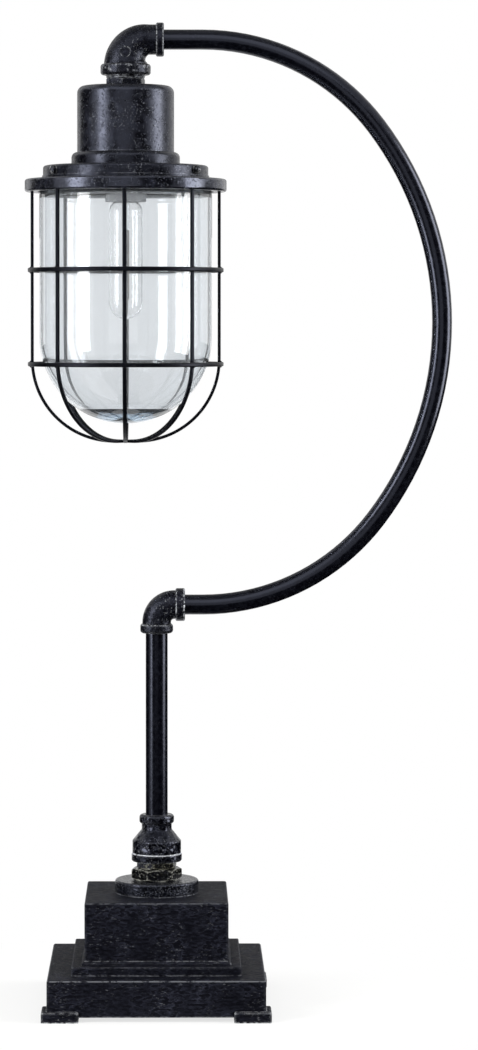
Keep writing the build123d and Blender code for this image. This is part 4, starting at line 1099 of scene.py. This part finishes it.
@dataclass
class CollarScrew:
    """One slotted screw in the collar, which stands for its plain CAD solid."""

    node: str
    angle: float
    slot_turn: float
    height: float = 540.15
    seat: float = 53.55
    tip: float = 51.35
    head_radius: float = 2.7
    head_wall: float = 2.5
    head_crown: float = 1.25
    shank_radius: float = 1.45
    shank_in_head: float = 0.2
    slot_half: float = 0.42
    slot_depth: float = 1.3
    slot_taper: float = 0.96
    columns: int = 24
    rows: int = 24
    shank_columns: int = 24

    def build(self) -> None:
        """Makes the screw and hides the CAD's."""
        sheets = [self.head(), self.shank()]
        piece = make_piece(self.node + "_slotted", self.node, SCREW_BLACK, sheets)
        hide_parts(self.node)

    def set_in(self, local: np.ndarray) -> np.ndarray:
        """Turns points about the screw's own axis into the collar.

        Args:
            local: points along the slot's normal, along the slot, and outwards from the collar's axis.

        Returns:
            The points in the lamp's frame.
        """
        turn = np.radians(self.slot_turn)
        side = local[..., 0] * np.cos(turn) - local[..., 1] * np.sin(turn)
        rise = local[..., 0] * np.sin(turn) + local[..., 1] * np.cos(turn)
        angle = np.radians(self.angle)
        return np.stack(
            [
                HEAD_AXIS_X + local[..., 2] * np.cos(angle) - side * np.sin(angle),
                local[..., 2] * np.sin(angle) + side * np.cos(angle),
                self.height + rise,
            ],
            axis=-1,
        )

    def head(self) -> Sheet:
        """Shapes the crowned head with its slot.

        Formula: columns x run across the slot, with pairs at the slot's two walls; along a column
        y = v sqrt(R2 - x2). The top is wall + crown (1 - r2 / R2), less the depth between the slot's walls;
        the underside is flat.

        Returns:
            The head's closed sheet.
        """
        edge = self.slot_half
        reach = self.head_radius
        side = reach * np.sin(np.linspace(np.arcsin(edge / reach), np.pi / 2, self.columns))
        inner = np.array([-edge, edge]) * self.slot_taper
        across = np.concatenate([-side[::-1], inner, side])
        along = np.sin(np.linspace(-np.pi / 2, np.pi / 2, self.rows))
        x = np.repeat(across[:, None], self.rows, axis=1)
        y = along[None, :] * np.sqrt(np.maximum(reach**2 - across**2, 0.0))[:, None]
        crown = self.head_crown * (1.0 - (x**2 + y**2) / reach**2)
        top = self.seat + self.head_wall + crown - self.slot_depth * (np.abs(x) < edge)
        under = np.full_like(top, self.seat)
        upper = np.stack([x, y, top], axis=-1)
        lower = np.stack([x, y, under], axis=-1)[:, ::-1]
        points = self.set_in(np.concatenate([upper, lower], axis=1))
        return lay_grid(points, close_rows=False, close_columns=True)

    def shank(self) -> Sheet:
        """Turns the shank: radius 0, r, r, 0 at its two ends, with each end closed on the axis.

        Returns:
            The shank's closed sheet.
        """
        top = self.seat + self.shank_in_head
        radius = np.array([0.0, 1.0, 1.0, 0.0])[:, None] * self.shank_radius
        angle = np.linspace(0.0, 2.0 * np.pi, self.shank_columns, endpoint=False)[None, :]
        side = radius * np.cos(angle)
        out = np.broadcast_to(np.array([self.tip, self.tip, top, top])[:, None], side.shape)
        local = np.stack([side, radius * np.sin(angle), out], axis=-1)
        return lay_grid(self.set_in(local), close_rows=False, close_columns=True)


@dataclass
class CagedJar:
    """The glass jar in its cage of ribs and hoops."""

    rib_count: int = 8
    rib_face: float = 61.6
    hoop_heights: tuple[float, float] = (476.3, 415.4)
    hoop_half: float = 1.4
    bead_along: float = 1.5
    bead_out: float = 0.75
    bead_up: float = 0.85
    bead_rows: int = 9
    bead_columns: int = 14

    def build(self) -> None:
        """Adds the weld beads where hoops cross ribs."""
        angles = np.radians(np.arange(self.rib_count) * 360.0 / self.rib_count - 90.0)
        sheets = [
            self.bead(angle, height + side * self.hoop_half)
            for height in self.hoop_heights
            for side in (-1.0, 1.0)
            for angle in angles
        ]
        make_piece("cage_weld_beads", "cage", CAGE_PAINT, sheets)

    def bead(self, angle: float, height: float) -> Sheet:
        """Shapes one weld bead.

        Formula: an ellipsoid with half axes along, out and up, at the rib's outer face.

        Args:
            angle: the rib's angle about the cage's axis.
            height: the bead's middle.

        Returns:
            The bead's closed sheet.
        """
        tilt = np.linspace(-np.pi / 2, np.pi / 2, self.bead_rows)[:, None]
        round_it = np.linspace(0.0, 2.0 * np.pi, self.bead_columns, endpoint=False)[None, :]
        out = self.rib_face + self.bead_out * np.cos(tilt) * np.cos(round_it)
        side = self.bead_along * np.cos(tilt) * np.sin(round_it)
        up = np.broadcast_to(height + self.bead_up * np.sin(tilt), out.shape)
        points = np.stack(
            [
                HEAD_AXIS_X + out * np.cos(angle) - side * np.sin(angle),
                out * np.sin(angle) + side * np.cos(angle),
                up,
            ],
            axis=-1,
        )
        return lay_grid(points, close_rows=False, close_columns=True)

    def dress(self) -> None:
        """Paints the ring, the flange, the cage and the jar."""
        dress(SPUN_BLACK, "glass_ring")
        dress(HANDLED_BLACK, "cage_flange")
        dress(CAGE_PAINT, *(f"cage_rib_{number}" for number in range(1, self.rib_count + 1)))
        dress(CAGE_PAINT, "cage_hoop_upper", "cage_hoop_lower")
        dress(JAR_GLASS, "glass_jar")
        dress(RUBBER, "jar_gasket")
        dress(ZINC_STEEL, "ring_screws")


@dataclass
class TubeBulb:
    """The clear tubular bulb."""

    def dress(self) -> None:
        """Paints glass, cap and filament."""
        dress(BULB_GLASS, "bulb_glass", "bulb_stem")
        dress(NICKEL, "bulb_cap")
        dress(BRASS, "bulb_tip")
        dress(TUNGSTEN, "bulb_filament")


@dataclass(frozen=True)
class SoftBox:
    """One soft studio lamp."""

    name: str
    place_m: tuple[float, float, float]
    width_m: float
    height_m: float
    watts: float

    def build(self, aim: Vector) -> None:
        """Hangs the lamp and turns it to the object.

        Args:
            aim: the point it faces.
        """
        lamp = bpy.data.lights.new(self.name, "AREA")
        lamp.shape = "RECTANGLE"
        lamp.size = self.width_m
        lamp.size_y = self.height_m
        lamp.energy = self.watts
        box = bpy.data.objects.new(self.name, lamp)
        box.location = self.place_m
        box.rotation_euler = (aim - Vector(self.place_m)).to_track_quat("-Z", "Y").to_euler()
        bpy.context.scene.collection.objects.link(box)


class FlagOutline(Enum):
    """The flags' upright sections, as radius and height in metres of each corner."""

    FOOTED = ((0.085, 0.004), (2.2, 0.004), (2.2, 1.5))
    FLOOR = ((0.085, 0.004), (3.2, 0.004))
    LOW = ((0.085, 0.004), (2.2, 0.004), (2.2, 0.3))
    RAISED = ((2.2, 0.55), (2.2, 1.5), (1.3, 2.3))
    OVERHEAD = ((0.02, 2.3), (1.3, 2.3))


@dataclass(frozen=True)
class Flag:
    """A felt flag round the object, so that the black finishes keep dark bands between the lamps.

    It reaches between two angles from the front, in degrees. Only reflections show it.
    """

    name: str
    start: float
    end: float
    outline: FlagOutline
    felt: Felt = BLACK_FELT
    columns: int = 24

    def build(self) -> None:
        """Stands the flag up.

        Formula: at angle a from the front, the outline's radius r is at (r sin a, -r cos a).
        """
        angle = np.radians(np.linspace(self.start, self.end, self.columns))[:, None]
        radius, height = np.array(self.outline.value).T[:, None, :]
        x = radius * np.sin(angle)
        points = np.stack([x, -radius * np.cos(angle), np.broadcast_to(height, x.shape)], axis=-1)
        panel = stage_sheet(self.name, points, self.felt)
        for way in ("camera", "diffuse", "transmission", "volume_scatter", "shadow"):
            setattr(panel, f"visible_{way}", False)


@dataclass
class Studio:
    """The pale floor, the white surround, the lamps, the flags between them, and the camera."""

    camera_mm: tuple[float, float, float] = (9.1, -2339.7, 440.5)
    aim_mm: tuple[float, float, float] = (26.2, 0.0, 383.9)
    focal_px: float = 3607.2
    picture_height_px: float = 1050.0
    sensor_mm: float = 36.0
    shift: tuple[float, float] = (0.040, -0.107)
    ambient: float = 0.6
    floor_half_m: float = 6.0
    floor_lines: int = 3
    lamp_aim_m: tuple[float, float, float] = (0.0, 0.0, 0.35)
    flags: tuple[Flag, ...] = (
        Flag("left_front_flag", -42.0, -22.0, FlagOutline.FOOTED),
        Flag("front_flag", -22.0, 16.0, FlagOutline.FLOOR),
        Flag("right_front_flag", 16.0, 64.0, FlagOutline.FOOTED),
        Flag("right_flag", 64.0, 112.0, FlagOutline.FLOOR),
        Flag("right_back_flag", 112.0, 118.0, FlagOutline.FOOTED),
        Flag("right_low_flag", 118.0, 164.0, FlagOutline.LOW),
        Flag("back_flag", 164.0, 206.0, FlagOutline.RAISED, GREY_FELT),
        Flag("left_low_flag", 206.0, 226.0, FlagOutline.LOW),
        Flag("left_back_flag", 226.0, 272.0, FlagOutline.FOOTED),
        Flag("overhead_flag", 0.0, 360.0, FlagOutline.OVERHEAD, GREY_FELT),
    )
    lamps: tuple[SoftBox, ...] = (
        SoftBox("left_softbox", (-1.17, -0.76, 0.6), width_m=0.42, height_m=1.5, watts=22.0),
        SoftBox("right_softbox", (1.38, -0.16, 0.5), width_m=0.60, height_m=1.5, watts=26.5),
        SoftBox("top_softbox", (-0.1, -1.7, 1.9), width_m=2.4, height_m=1.6, watts=14.0),
    )

    def build(self) -> None:
        """Sets up everything round the object."""
        bpy.context.scene.view_settings.view_transform = "Standard"
        self.world()
        self.floor()
        for flag in self.flags:
            flag.build()
        for lamp in self.lamps:
            lamp.build(Vector(self.lamp_aim_m))
        self.camera()

    def world(self) -> None:
        """Makes a surround that shows white and lights the object at a plain level."""
        world = bpy.data.worlds.new("white_surround")
        bpy.context.scene.world = world
        world.use_nodes = True
        tree = world.node_tree
        tree.nodes.clear()
        light = add_node(tree, "ShaderNodeBackground", {"Color": WHITE, "Strength": self.ambient})
        white = add_node(tree, "ShaderNodeBackground", {"Color": WHITE, "Strength": 1.0})
        both = add_node(tree, "ShaderNodeMixShader", {0: shows_white(tree), 1: light, 2: white})
        add_node(tree, "ShaderNodeOutputWorld", {"Surface": both})

    def floor(self) -> None:
        """Lays the floor: a flat square grid at height 0."""
        way = np.linspace(-self.floor_half_m, self.floor_half_m, self.floor_lines)
        x, y = np.meshgrid(way, way, indexing="ij")
        stage_sheet("floor", np.stack([x, y, np.zeros_like(x)], axis=-1), STUDIO_FLOOR)

    def camera(self) -> None:
        """Stands the camera where the photograph was taken."""
        lens = bpy.data.cameras.new("camera")
        lens.sensor_width = self.sensor_mm
        lens.lens = self.sensor_mm * self.focal_px / self.picture_height_px
        lens.shift_x, lens.shift_y = self.shift
        camera = bpy.data.objects.new("camera", lens)
        place = Vector(self.camera_mm) * MM
        camera.location = place
        camera.rotation_euler = (Vector(self.aim_mm) * MM - place).to_track_quat("-Z", "Y").to_euler()
        bpy.context.scene.collection.objects.link(camera)
        bpy.context.scene.camera = camera


def main() -> None:
    """Dresses the lamp from the base up and sets it in the studio."""
    logging.basicConfig(level=logging.INFO, format="%(name)s: %(message)s")
    PedestalBase().dress()
    FittingStack().dress()
    SwingArm().dress()
    head = LampHead()
    head.dress()
    head.build()
    CollarScrew("collar_screw_1", angle=-147.0, slot_turn=20.0).build()
    CollarScrew("collar_screw_2", angle=-33.0, slot_turn=-35.0).build()
    CollarScrew("collar_screw_3", angle=90.0, slot_turn=70.0).build()
    cage = CagedJar()
    cage.dress()
    cage.build()
    TubeBulb().dress()
    Studio().build()


if __name__ == "__main__":
    main()
